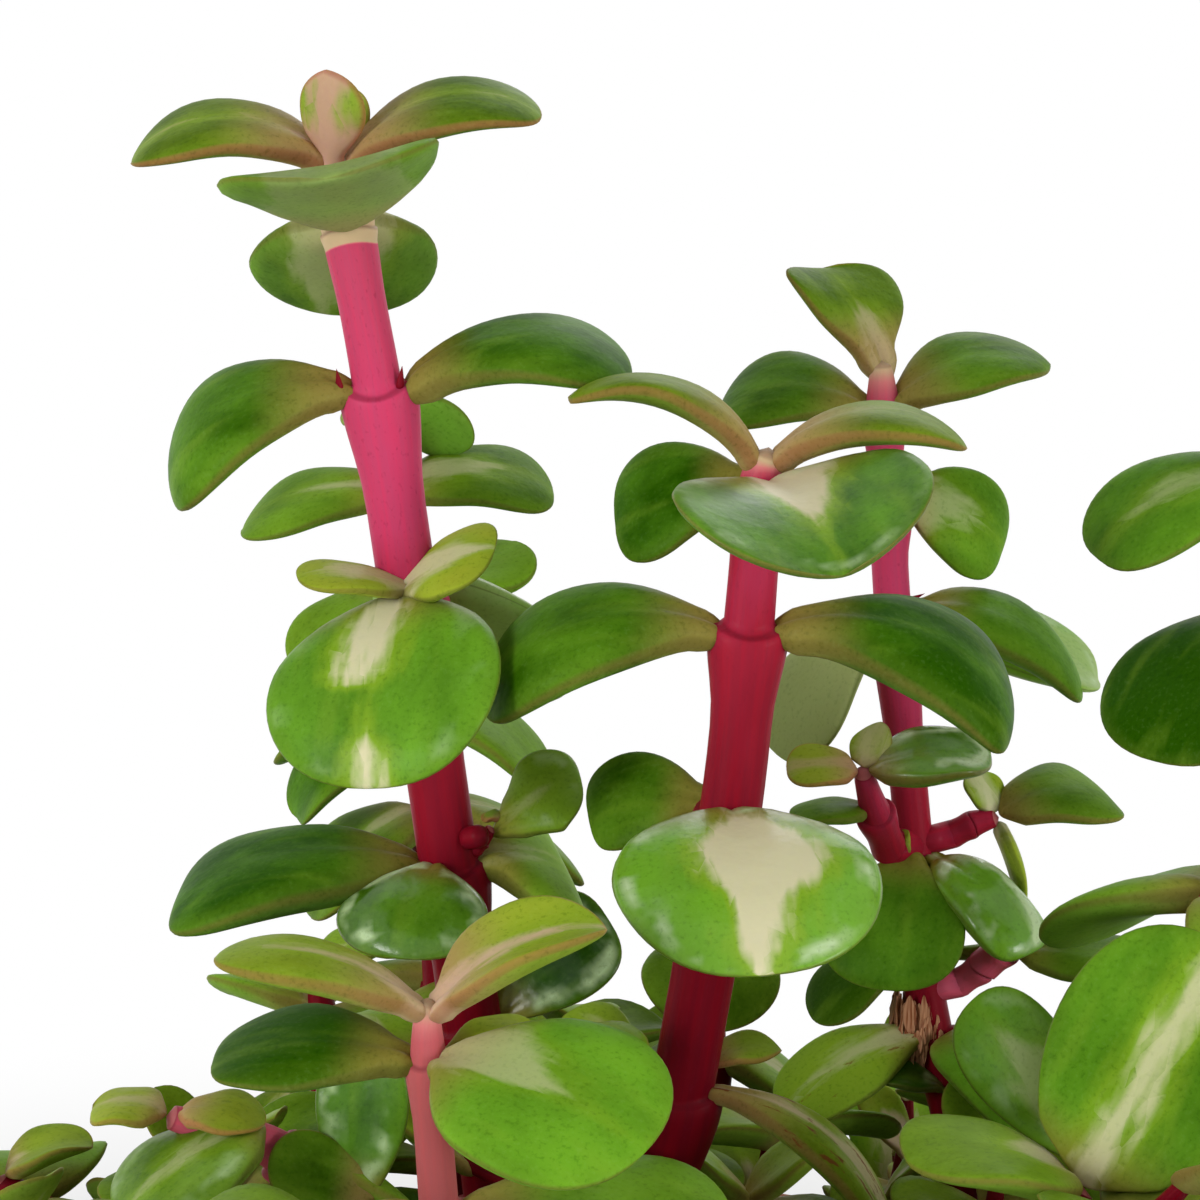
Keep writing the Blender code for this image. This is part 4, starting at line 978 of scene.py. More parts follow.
# On some of these leaves shade and a cream patch over the whole leaf at a low fade paint light and shade:
# they darken leaves that turn away from the lamps and lighten leaves that hang in shadow.
LEAF_LOOKS = {
    "tall_leaf_8_bud_front": Looks(
        ((0, 2.5, 2.5), (0.4, 1.2, 1.2), (0.7, 0.9, 0.9), (1, 1.6, 1.6)), fade=0.88, youth=1, blush=1,
        shade=-0.3, stretch=0.92, shoulder=0.85, roundness=0.75),
    "tall_leaf_8_bud_back": Looks(
        ((0, 1, 1), (1, 1, 1)), fade=0.6, youth=1, blush=0.6, shade=-0.3, roundness=0.5),
    "tall_leaf_8_left": Looks(
        ((0, 0.8, 0.8), (0.3, -0.4, -0.4)), fade=0.6, youth=0.6, blush=0.8, shade=0.3, roll=-11, broad=0.85,
        roundness=0.5, thick=1.1, droop=-0.3),
    "tall_leaf_8_right": Looks(
        ((0, 0.8, 0.8), (0.3, -0.4, -0.4)), fade=0.6, youth=0.5, blush=0.8, shade=0.4, roll=12, broad=0.85,
        roundness=0.5, thick=1.1),
    "tall_leaf_7_front": Looks(
        ((0, 5, 5), (1, 4, 4)), fade=0.18, youth=0.15, blush=0.15, shade=0.1, move=(0, 0, 1.2), cup=-0.16,
        shoulder=0.45, roundness=BLUNT, roll=3, stretch=0.94),
    "tall_leaf_7_back": Looks(
        ((0, 3.5, 3.5), (0.5, 2, 3.5), (0.9, -0.5, 1)), fade=0.34, youth=0.1, shade=0.25, roll=-14,
        broad=1.02, move=(0, 0, 0.3), droop=0.4, shoulder=0.8),
    "tall_leaf_6_left": Looks(
        youth=0.05, blush=0.25, shade=0.28, droop=-1.2, stretch=0.97, broad=0.9, thick=1.25),
    "tall_leaf_6_right": Looks(
        youth=0.05, blush=0.2, shade=0.35, shoulder=0.85, roundness=0.32, thick=1.2, broad=0.95,
        move=(0, 0, 0.4), droop=-0.9),
    "tall_leaf_5_front": Looks(
        ((0, 0.2, 0), (0.12, 1.3, 0.5), (0.22, 2.2, 0.6), (0.42, 2.5, 0.5), (0.52, 2.6, 0.4),
        (0.58, 1.8, -0.4), (0.62, -0.9, -0.9), (0.78, -0.9, -0.8), (0.84, 0.5, 0.6), (1, 1, 1)), fade=0.92,
        roll=9, broad=0.95, shoulder=0.52, gloss=0.15),
    "tall_leaf_5_back": Looks(
        ((0, 6, 6), (1, 6, 6)), fade=0.2, blush=-0.5, shade=-1.2, gloss=0.5, stretch=1.3, broad=1.15,
        move=(-1.6, 0.5, 1.2)),
    "tall_leaf_5_axil_left": Looks(
        ((0, 1.2, 1.2), (0.6, 1, 1), (1, -0.5, -0.5)), fade=0.6, youth=1, blush=0.25, shade=-0.9,
        broad=1.25, move=(2.8, -2.5, 1.1), swing=20, stretch=1.16, droop=-0.5),
    "tall_leaf_5_axil_right": Looks(
        ((0, 1.4, 1.4), (0.6, 1.2, 1.2), (1, -0.5, -0.5)), fade=0.7, youth=1, shade=-0.9, broad=1.6,
        move=(-2.8, -2.3, 1), swing=-20, roll=20, stretch=1.08, droop=0.3),
    "tall_leaf_4_left": Looks(
        blush=0.15, shade=0.35, roll=11, broad=0.98, droop=-1, shoulder=0.62, roundness=0.26, thick=1.7,
        stretch=0.97),
    "tall_leaf_4_right": Looks(
        ((0, 1, 1), (0.4, 1.2, 0.4), (0.8, -0.6, -0.6)), fade=0.3, youth=0.25, shade=-0.15, stretch=0.6,
        broad=1.35, roundness=0.28, droop=-0.4),
    "tall_leaf_4_axil_front": Looks(
        youth=0.05, shade=0.25, gloss=1, stretch=0.98, broad=1.32, cup=-0.15, shoulder=0.5, droop=0.1,
        swing=8),
    "front_leaf_7_left": Looks(youth=0.75, blush=0.6, shade=0.2, broad=0.75, roundness=POINTED, thick=1.15),
    "front_leaf_7_right": Looks(
        ((0, 1.5, 1.5), (0.5, 0.8, 0.8), (0.9, -1, -1)), fade=0.15, youth=0.7, blush=0.65, shade=0.3,
        broad=0.8, roundness=0.5, thick=1.25, stretch=0.93),
    "front_leaf_6_front": Looks(
        ((0, 1.8, 3), (0.12, 1.6, 3.2), (0.3, 1.2, 3), (0.48, -0.2, 1.6), (0.62, -1, 0.2),
        (0.8, -1.6, -1.4)), fade=0.85, blush=0.25, shade=0.22, gloss=0.28, shoulder=0.5, cup=0.18),
    "front_leaf_6_back": Looks(
        shade=0.4, swing=28, roll=-48, stretch=0.82, broad=0.64, droop=-1.6, roundness=BLUNT),
    "front_leaf_5_left": Looks(
        youth=0.05, blush=0.2, shade=0.3, roll=7, broad=0.84, droop=-0.3, shoulder=0.8, roundness=0.52,
        thick=1.35),
    "front_leaf_5_right": Looks(
        blush=0.2, shade=0.45, roll=-3, broad=0.9, droop=-0.5, shoulder=0.95, roundness=0.27, thick=1.5),
    "front_leaf_4_front": Looks(
        ((0, 0.3, 0.3), (0.12, 0.7, 0.9), (0.22, 1.4, 2.6), (0.32, 2.7, 4.3), (0.44, 3, 4.9),
        (0.54, 2.3, 4.4), (0.6, 1, 3.2), (0.68, 0.3, 2.4), (0.8, 0.5, 1.8), (0.9, 0.6, 1.2),
        (1, -0.4, 0.3)), fade=0.95, shade=-0.26, gloss=0.7, broad=0.95, shoulder=0.42, swing=4, droop=-0.8),
    "front_leaf_4_back": Looks(
        youth=0.1, shade=0.4, swing=25, roll=-50, stretch=0.7, broad=0.6, droop=-1, roundness=BLUNT),
    "front_leaf_3_left": Looks(
        ((0, 0.8, 0.8), (0.6, 0.6, 0.6), (1, -1, -1)), fade=0.5, youth=0.55, blush=0.3, shade=-0.2),
    "front_leaf_3_right": Looks(
        ((0, -0.5, -0.5), (0.3, 0.2, 0.8), (0.6, 1, 1.6), (1, 0.6, 1.2)), fade=0.6, youth=0.9, blush=0.5,
        shade=0.25, marks=0.95, broad=0.52, roll=-18, thick=1.15),
    "rear_leaf_9_back": Looks(
        ((0, 1.2, 1.2), (0.35, 1, 0.8), (0.6, -0.8, -0.8)), fade=0.4, youth=0.4, blush=0.45, shade=0.35,
        cup=-0.15, broad=1.15, shoulder=0.9, roundness=0.34, stretch=0.94, move=(0.4, 0, 0.1)),
    "rear_leaf_8_left": Looks(youth=0.1, blush=0.2, shade=0.3, broad=1.08, roll=-6, roundness=BLUNT),
    "rear_leaf_8_right": Looks(
        youth=0.15, blush=0.25, shade=0.3, roundness=0.78, droop=-0.5, stretch=0.94, move=(-0.3, 0, 0.7)),
    "rear_leaf_7_right": Looks(
        ((0, 2.4, 2.4), (0.5, 0.6, 0.6), (0.8, -1, -1)), fade=0.3, youth=0.05, blush=-0.3, shade=0.15,
        roll=26, swing=-14, droop=1.2, shoulder=0.5, roundness=0.3, thick=1.2, stretch=0.84, broad=0.78,
        move=(0, 0, 0.4)),
    "rear_leaf_6_left": Looks(
        ((0, 6, 6), (1, 6, 6)), fade=0.42, youth=0.6, blush=0, shade=-1.3, stretch=1.22, broad=1.05,
        droop=0.8),
    "rear_leaf_6_right": Looks(
        youth=0.05, shade=0.2, thick=1.3, broad=0.74, roll=8, droop=0.2, stretch=1.1, shoulder=0.42,
        roundness=0.55, move=(0.2, 0, 0.8)),
    "rear_leaf_5_front": Looks(shade=0.15, swing=20, broad=1.12, stretch=1.02),
    "rear_leaf_5_right": Looks(
        shade=-0.1, blush=0, gloss=1, thick=1.9, broad=0.72, stretch=1.18, shoulder=0.4, roundness=0.26,
        droop=0.5),
    "rear_leaf_4_left": Looks(shade=0.6, youth=0.15),
    "rear_leaf_3_left": Looks(
        ((0, 0.8, 0.8), (0.5, 1, 1), (0.9, -0.6, -0.6)), fade=0.5, youth=0.45, shade=-0.4, marks=0.85,
        broad=0.8),
    "rear_leaf_3_right": Looks(
        ((0, -2, 0.5), (0.4, -2, 3), (0.9, -2, 2)), fade=0.15, shade=-0.05, swing=-16, droop=1.4,
        shoulder=0.36, stretch=0.98, broad=0.94),
    "near_leaf_5_left": Looks(
        ((0, 1.3, 1.3), (0.3, 0.5, 0.5), (0.8, 0, 0), (1, -0.5, -0.5)), fade=0.55, youth=0.75, blush=0.55,
        roll=11, broad=0.8, shoulder=0.6, roundness=0.4, thick=1.4),
    "near_leaf_5_right": Looks(
        ((0, 1.3, 1.3), (0.3, 0.5, 0.5), (0.9, 0.3, 0.3), (1, 0.3, 0.3)), fade=0.75, youth=0.85, blush=0.7,
        shade=-0.2, cup=0.25, broad=0.8, shoulder=0.6, roundness=POINTED, thick=1.2),
    "near_leaf_4_left": Looks(
        shade=0.75, youth=0.05, roll=-22, stretch=0.94, shoulder=0.6, roundness=BLUNT),
    "near_leaf_4_right": Looks(
        ((0, 1, 2.6), (0.25, 0.8, 3.2), (0.5, 0, 1), (0.8, -1.5, -1)), fade=0.4, blush=0.12, shade=-0.1,
        shoulder=0.55),
    "low_right_4_5": Looks(
        ((0, 0.8, 0.8), (0.2, 0.9, 0.9), (0.6, 0.8, 0.8), (1, 0.6, 0.6)), fade=0.65, shade=0.1, swing=-4,
        stretch=1.04, shoulder=0.55),
    "edge_4_2": Looks(shade=0.8, broad=1.05, move=(1.2, 0, 1)),
    "edge_5_0": Looks(
        ((0, 1, 1), (0.6, 0.8, 0.8), (1, -1, -1)), fade=0.25, shade=0.1, roll=-20, move=(0, 0, -1),
        droop=1.8, roundness=BLUNT),
    "low_left_4_0": Looks(
        ((0, 0.5, 0.5), (0.6, 1, 1), (1, 0, 0)), fade=0.4, youth=1, blush=0.5, shade=-0.6, stretch=0.62,
        broad=0.85, droop=0.6),
    "low_left_4_3": Looks(youth=1, blush=0.9, shade=0.1, stretch=0.76, broad=0.85, droop=0.6),
    "low_left_3_1": Looks(
        ((0, 0.4, 0.4), (0.6, 0.3, 0.3), (1, -1, -1)), fade=0.4, youth=0.25, shade=0.15, gloss=0.3,
        move=(-0.4, -1.6, 2.7), droop=-2.6, broad=0.95),
    "tall_sprig_2_1": Looks(
        ((0, -0.5, -0.5), (0.4, 1, 0.4), (0.8, -0.4, -0.8)), fade=0.25, youth=0.3, shade=-0.1, gloss=0.25,
        roll=35, move=(-0.9, 0, -1.1), stretch=0.86, broad=1.15, shoulder=0.9, roundness=0.34),
    "tall_sprig_2_0": Looks(youth=0.6, blush=1, stretch=0.3, broad=0.5),
    "back_6_10": Looks(((0, 1.8, 1.8), (0.5, 1, 1), (0.9, -1, -1)), fade=0.45, youth=0.2, shade=0.2),
    "back_6_0": Looks(((0, 1.4, 1.4), (0.4, 0.4, 0.4), (0.7, -1, -1)), fade=0.4, youth=0.2, shade=0.1),
    "back_7_7": Looks(shade=-0.1, broad=0.72, stretch=0.66, droop=3.4, roll=-50, roundness=BLUNT),
    "back_7_2": Looks(youth=0.7, stretch=0.5),
    "back_5_8": Looks(shade=-0.2, youth=0.2, droop=-7, stretch=0.95, broad=1.2),
    "rear_left_sprig_2_3": Looks(shade=0.1, blush=0.35, gloss=0.9, thick=1.45, broad=0.9, cup=-0.1),
    "rear_left_sprig_2_0": Looks(
        ((0, 0.8, 0.8), (1, 0.5, 0.5)), fade=0.4, youth=1, blush=0.9, shade=-0.5, broad=1.05),
    "rear_left_sprig_2_2": Looks(
        ((0, 1, 1), (1, 1, 1)), fade=0.5, youth=1, blush=0.3, shade=-0.35, roundness=POINTED),
    "rear_left_sprig_1_1": Looks(shade=0.2, youth=0.2),
    "rear_right_sprig_2_2": Looks(youth=0.2, blush=0.35, shade=0.25, thick=1.3, roundness=BLUNT),
    "rear_right_sprig_2_1": Looks(
        ((0, 1, 1), (1, 1, 1)), fade=0.6, youth=1, blush=0, shade=-0.5, roundness=POINTED, stretch=1.3,
        droop=1, broad=1.15),
    "rear_right_sprig_2_0": Looks(
        ((0, 1, 1), (1, 1, 1)), fade=0.8, youth=1, blush=0, shade=-0.5, stretch=0.9),
    "rear_branch_3_1": Looks(youth=0.8, blush=0.3, roundness=POINTED, stretch=0.82),
    "rear_branch_2_2": Looks(youth=0.2, shade=0.2, droop=-1.6),
}
print(len(LEAF_LOOKS), "leaves have their looks set by hand")

# %% [markdown]
# ## Dressing the free shoots
#
# Each free leaf stays a piece of its own, as it is in the solids, so that any one of them can be
# changed or taken away. The leaf's foot is tucked a little into the stem, because the solids stop short
# of it while a real leaf grows out of it.

# %% Make the free leaves and the canes
LEAF_TUCK = 1.6
JOINED_TUCK = -0.4
# At which joint a stem turns pale, over how many joints it does so, and how much it widens there.
COLLARS = {"tall": (6.87, 0.004, 0.30), "front": (6.4, 0.3, 0.0),
           "rear": (8.5, 0.5, 0.0), "near": (4.5, 0.6, 0.0)}

rng = np.random.default_rng(SEED)
for node, leaf in free_leaves.items():
    looks = LEAF_LOOKS.get(node) or chance_looks(leaf, rng)
    tube = leaf_tube(leaf, looks, rng, LEAF_TUCK)
    make_piece(node.replace("_leaf_", "_blade_"), [tube], leaf_skin, "leaf_skin", node)
for name, (pale_from, pale_over, funnel) in COLLARS.items():
    shoot = SHOOTS[name]
    cane = stem_tube(shoot, pair_angles(shoot, leaves_of(name)), True, pale_from, rng, pale_over, funnel)
    make_piece(f"{name}_cane", [cane], stem_skin, "stem_skin", shoot.node)
print(len(free_leaves), "blades and", len(COLLARS), "canes made")

# %% [markdown]
# ## Dressing the joined shoots
#
# The shoots away from the front are one solid each, so all the leaves of one go into a single piece that
# stands for that solid, with its cane beside it. Their leaves start at the stem's middle, so they are
# drawn back out of it a little instead of being tucked in.

# %% Make the joined shoots
for name, leaves in joined_leaves.items():
    shoot = SHOOTS[name]
    planted = shoot.joints[0][2] == SOIL_LEVEL
    blades = []
    for leaf in leaves:
        looks = LEAF_LOOKS.get(leaf.name) or chance_looks(leaf, rng)
        blades.append(leaf_tube(leaf, looks, rng, JOINED_TUCK))
    make_piece(f"{name}_blades", blades, leaf_skin, "leaf_skin", shoot.node)
    cane = stem_tube(shoot, pair_angles(shoot, leaves), planted, len(shoot.joints) - 1, rng)
    make_piece(f"{name}_cane", [cane], stem_skin, "stem_skin")
print(len(joined_leaves), "joined shoots dressed")

# %% [markdown]
# ## The undergrowth
#
# Low on the plant every old joint sends out side shoots, and their leaves crowd into a dense skirt that
# hides the soil and spills over the rim. Drawing each by hand would take days, and copying one shoot
# many times would show. So they are grown: a side shoot starts at a bare joint or at the soil, leans
# out, bends up to the light, and carries a pair of leaves at each joint. A leaf that would run into
# one that is already there, into the pot, or up out of the skirt is left off, as if it had been shed.

# %% Rules for a grown side shoot
# How high the skirt reaches at places from left to right, and how it falls towards the back.
SKIRT_TOP = ((-62, 112), (-30, 119), (-24, 125), (6, 126), (9, 118), (20, 118), (25, 124), (48, 124),
             (62, 112))
SKIRT_FALL_BACK, SKIRT_FLOOR, SKIRT_REACH = 0.33, 83.5, 59.0
# The pot's wall with room round it: its inside, its outside and its top.
WALL_INSIDE, WALL_OUTSIDE, WALL_TOP = 41.0, 52.0, 91.5
STEP_SHARE, STEP_SHRINK = (0.42, 0.62), 0.12
RISE_GAIN, STEEPEST, WANDER = (4.0, 18.0), 82.0, 14.0
LEAF_SHARE, LEAF_SHRINK, TOP_LEAF_SHARE = (0.85, 1.1), 0.10, 0.55
OLD_LIFT, OLD_CURL = (12.0, 42.0), (20.0, 60.0)
TOP_LIFT, TOP_CURL = (40.0, 62.0), (5.0, 25.0)
LEAF_BROAD, LEAF_CUP, LEAF_TURN, LEAF_LEAN = (0.66, 0.86), (0.08, 0.30), 12.0, 14.0
SHOOT_FOOT, SHOOT_FOOT_SHARE, SHOOT_TIP = 0.8, 0.05, 0.75


def arc_midrib(base, heading, rise, curl, length):
    """The cubic nearest the arc that leaves the base at the rise and has turned down by the curl."""
    share = np.linspace(0.0, 1.0, 9)
    angle = rise - curl * share
    level = np.cos(angle)
    towards = np.stack([np.cos(heading) * level, np.sin(heading) * level, np.sin(angle)], axis=1)
    steps = 0.5 * (towards[1:] + towards[:-1]) * length / (len(share) - 1)
    return fit_midrib(share, np.vstack([base, base + np.cumsum(steps, axis=0)]))


def new_leaf(name, base, heading, rise, curl, length, width, cup, roll, shoot, joint):
    """A leaf record from a maker's numbers: angles in degrees, sizes in millimetres."""
    turn, lean = math.radians(heading), math.radians(roll)
    midrib = arc_midrib(np.asarray(base, float), turn, math.radians(rise), math.radians(curl), length)
    side = np.array([-math.sin(turn), math.cos(turn), 0.0])
    ahead = unit(midrib_at(midrib, 0.3)[1])
    side = side * math.cos(lean) + np.cross(ahead, side) * math.sin(lean)
    return Leaf(name, midrib, side, width, cup, shoot, joint)


def leaf_samples(leaf):
    """Eighteen points spread over a leaf: six along the midrib, each with one towards either margin."""
    share = np.array([0.15, 0.35, 0.52, 0.68, 0.84, 1.0])
    middle = midrib_at(leaf.midrib, share)[0]
    reach = 0.36 * leaf.width * blade_outline(np.minimum(share, 0.95), SHOULDER, OVAL)
    aside = reach[:, None] * leaf.side
    return np.vstack([middle, middle + aside, middle - aside])


def inside_skirt(points):
    """True where every point is under the skirt's top, clear of the pot, and within reach."""
    x, y, z = points.T
    top = np.interp(x, *np.array(SKIRT_TOP).T) - SKIRT_FALL_BACK * np.maximum(y, -6.0)
    out = np.hypot(x, y)
    in_wall = (out > WALL_INSIDE) & (out < WALL_OUTSIDE) & (z < WALL_TOP)
    return not in_wall.any() and bool(((z < top) & (z > SKIRT_FLOOR) & (out < SKIRT_REACH)).all())


def grow_side_shoot(name, start, heading, rise, count, size, rng):
    """Joints step out and up; pairs lie across the shoot and then along it, by turns."""
    joints, leaves = [np.asarray(start, float)], []
    for k in range(count):
        turn, climb = math.radians(heading), math.radians(rise)
        towards = np.array([
            math.cos(turn) * math.cos(climb), math.sin(turn) * math.cos(climb), math.sin(climb)])
        joints.append(joints[-1] + towards * size * rng.uniform(*STEP_SHARE) * (1.0 - STEP_SHRINK * k))
        rise = min(rise + rng.uniform(*RISE_GAIN), STEEPEST)
        heading += rng.uniform(-WANDER, WANDER)
        across = 90.0 if k % 2 == 0 else 0.0
        on_top = k == count - 1
        length = size * rng.uniform(*LEAF_SHARE) * (TOP_LEAF_SHARE if on_top else 1.0 - LEAF_SHRINK * k)
        for sign in (0.0, 180.0):
            lift = rng.uniform(*(TOP_LIFT if on_top else OLD_LIFT))
            curl = rng.uniform(*(TOP_CURL if on_top else OLD_CURL))
            leaf_heading = heading + across + sign + rng.uniform(-LEAF_TURN, LEAF_TURN)
            leaves.append(new_leaf(
                f"{name}_{k + 1}_{int(sign)}", joints[-1], leaf_heading, lift, curl, length,
                length * rng.uniform(*LEAF_BROAD), rng.uniform(*LEAF_CUP), rng.uniform(-LEAF_LEAN, LEAF_LEAN),
                name, k + 1))
    foot = SHOOT_FOOT + SHOOT_FOOT_SHARE * size
    return Shoot(name, foot, SHOOT_TIP, [tuple(joint) for joint in joints]), leaves


print("the skirt's top at the middle:", np.interp(0.0, *np.array(SKIRT_TOP).T), "mm")

# %% [markdown]
# ## Growing the skirt
#
# Side shoots are tried one after another, a set number of times, and a shoot that keeps too few leaves is
# dropped. What is kept goes to four sides, with the leaves and the canes of each side as two pieces, so
# that none grows too large. The chances come from a seeded source, so the plant grows the same way each
# time.

# %% Grow the undergrowth
SIDE_TRIES = 1400
SIDE_ROWS, SIDE_AROUND, SIDE_TUCK = 18, 16, 1.2
SIDE_SIZE = (10.0, 16.0)
STEM_START_CHANCE, STEM_STARTS, SOIL_STARTS = 0.62, (0.25, 3.2), 40.0
OUTWARD_SHIFT, OUTWARD_TURN = 9.0, 70.0
JOINTS_ON_SOIL, JOINTS_ON_STEM = (3, 6), (2, 5)
RISE_ON_SOIL, RISE_ON_STEM = (50.0, 80.0), (5.0, 60.0)
LEAF_CLEARANCE, STEM_CLEARANCE, NEAR = 1.5, 2.3, 14.0
FEWEST_LEAVES = 3
SKIRT_PARTS = {"front": (-150, -30), "right": (-30, 45), "back": (45, 135), "left": (135, 210)}
PARENTS = [shoot for shoot in SHOOTS.values() if shoot.joints[0][2] == SOIL_LEVEL]


def start_of_side_shoot(rng):
    """A place low on one of the stems, or on the soil, and the way out from the middle."""
    if rng.uniform() < STEM_START_CHANCE:
        parent = PARENTS[rng.integers(len(PARENTS))]
        place = along_joints(parent.joints, np.array([rng.uniform(*STEM_STARTS)]))[0]
    else:
        out, turn = SOIL_STARTS * math.sqrt(rng.uniform(0.02, 1.0)), rng.uniform(0.0, math.tau)
        place = np.array([out * math.cos(turn), out * math.sin(turn), SOIL_LEVEL])
    y = place[1] + rng.uniform(-OUTWARD_SHIFT, OUTWARD_SHIFT)
    x = place[0] + rng.uniform(-OUTWARD_SHIFT, OUTWARD_SHIFT)
    return place, math.degrees(math.atan2(y, x)) + rng.uniform(-OUTWARD_TURN, OUTWARD_TURN)


def gap_to(points, others):
    """The smallest distance from any of the points to any of the others that are near enough to count."""
    middle = points.mean(axis=0)
    near = others[(np.abs(others - middle) < NEAR).all(axis=1)]
    if not len(near):
        return math.inf
    return float(np.linalg.norm(points[:, None] - near[None], axis=2).min())


def part_of_skirt(shoot):
    """The side of the plant at which the shoot ends."""
    turn = math.degrees(math.atan2(shoot.joints[-1][1], shoot.joints[-1][0]))
    return next(part for part, (low, high) in SKIRT_PARTS.items()
                if low <= turn < high or low <= turn + 360.0 < high)


rng = np.random.default_rng(SEED + 1)
old_leaves = [*free_leaves.values()] + [leaf for leaves in joined_leaves.values() for leaf in leaves]
taken = np.vstack([leaf_samples(leaf) for leaf in old_leaves])
stems = np.vstack([stem_samples(shoot) for shoot in SHOOTS.values()])
skirt = {part: ([], []) for part in SKIRT_PARTS}
for attempt in range(SIDE_TRIES):
    place, heading = start_of_side_shoot(rng)
    on_soil = place[2] <= SOIL_LEVEL + 0.1
    size = rng.uniform(*SIDE_SIZE)
    count = int(rng.integers(*(JOINTS_ON_SOIL if on_soil else JOINTS_ON_STEM)))
    rise = rng.uniform(*(RISE_ON_SOIL if on_soil else RISE_ON_STEM))
    shoot, leaves = grow_side_shoot(f"side_{attempt}", place, heading, rise, count, size, rng)
    kept = []
    for leaf in leaves:
        samples = leaf_samples(leaf)
        if (inside_skirt(samples) and gap_to(samples, taken) > LEAF_CLEARANCE
                and gap_to(samples[3:], stems) > STEM_CLEARANCE):
            kept.append(leaf)
            taken = np.vstack([taken, samples])
    if len(kept) < FEWEST_LEAVES:
        taken = taken[:len(taken) - len(samples) * len(kept)]
        continue
    top = max(leaf.joint for leaf in kept)
    shoot = shoot._replace(joints=shoot.joints[:top + 1])
    stems = np.vstack([stems, stem_samples(shoot)])
    blades, canes = skirt[part_of_skirt(shoot)]
    for leaf in kept:
        blades.append(leaf_tube(leaf, chance_looks(leaf, rng), rng, SIDE_TUCK, SIDE_ROWS, SIDE_AROUND))
    canes.append(stem_tube(shoot, pair_angles(shoot, kept), on_soil, top, rng))
for part, (blades, canes) in skirt.items():
    make_piece(f"skirt_{part}_blades", blades, leaf_skin, "leaf_skin")
    make_piece(f"skirt_{part}_canes", canes, stem_skin, "stem_skin")
    print("skirt", part, len(canes), "side shoots with", len(blades), "leaves")

# %% [markdown]
# ## Buds, knobs and dry scales
#
# Close to, a stem is never bare. A broken shoot leaves a round stub, a shed leaf leaves a pair of dark
# points, small buds open in the corners between leaf and stem, and an old joint keeps a ruff of dry
# brown scales. They could be left out, and the plant would look like plastic. Each is one short tube or
# leaf, placed one by one where it shows.

# %% Make the small growths
LITTLE_LEAVES = (
    # base, heading, rise, curl, length, width, roll, looks
    ((22.5, 20.2, 127.8), 165, 62, -20, 2.7, 1.9, 0, Looks(youth=1, shade=-0.6, blush=0.1, shoulder=0.5)),
    ((22.5, 20.2, 127.8), 20, 70, -20, 2.4, 1.7, 0, Looks(youth=1, shade=-0.6, blush=0.1, shoulder=0.5)),
    ((22.8, 24.8, 145), 4, -8, 18, 15.8, 9.6, 18, Looks(
        ((0, 4, 4), (1, 4, 4)), fade=0.2, shade=-0.3, blush=-0.3, gloss=0.3, roundness=BLUNT)),
    ((34.2, -8, 115.4), 180, 46, -6, 15, 7.4, -62, Looks(
        ((0, 2, 2), (0.6, 1.6, 1.6), (0.9, -1, -1)), fade=0.3, shade=-0.05, gloss=0.2, roundness=BLUNT)),
    ((-14.4, 23.5, 137), 182, -8, 62, 11.5, 7.5, -30, Looks(shade=0.2, roundness=BLUNT)),
    ((-15.5, -15, 115.6), 80, 74, -8, 10, 6.2, 0, Looks(shade=0.2, gloss=0.5, roundness=BLUNT)),
    ((-14.8, -15.2, 116.4), 196, 26, 10, 7, 5.4, -50, Looks(youth=0.2, shade=0.3, blush=0.4)),
    ((25.6, 17.6, 110.8), -165, 30, 30, 5.6, 3.4, -20, Looks(shade=0.5, gloss=0.4)),
    ((26.4, 17.4, 110.8), -15, 45, 30, 6, 3.6, 20, Looks(shade=0.4, gloss=0.4)),
    ((6.8, -9.2, 122.8), 8, 30, 45, 5.4, 3.2, 15, Looks(youth=0.7, blush=0.8, roundness=POINTED)),
    ((-8.6, -31.2, 131.8), 22, 22, 40, 5.6, 4.4, 10, Looks(youth=0.9, shade=-0.3, blush=0.1)),
    ((-6.8, 3.6, 121.6), 12, 50, 20, 10, 7.6, 58, Looks(shade=0.5, gloss=0.7, roundness=BLUNT)),
)
KNOBS = (
    # foot, tip, radius, flatness of the end
    ((-9, 0.4, 135.4), (-7.7, -0.6, 135.9), 0.82, 9),
    ((-17, -0.8, 166.2), (-17.2, -1, 167.7), 0.30, 1.3),
    ((-13.1, -0.8, 166.4), (-12.9, -1, 167.9), 0.30, 1.3),
    ((22.9, 23.2, 147), (24.2, 22.8, 147.7), 0.28, 1.2),
)
LITTLE_CUP, LITTLE_TUCK = 0.15, 0.6
KNOB_AROUND, KNOB_RED_HEIGHT = 12, 130.0
SCALE_COUNT, SCALE_ROWS = 140, 8
RUFF_JOINTS, RUFF_RADIUS, RUFF_SHIFT = (3.0, 3.5), (1.2, 1.75), (-0.7, -0.4, 0.0)
SCALE_LENGTH, SCALE_WIDTH, SCALE_HANG, SCALE_CURL = (1.8, 4.6), (0.5, 1.1), (-96.0, -80.0), (-8.0, 10.0)


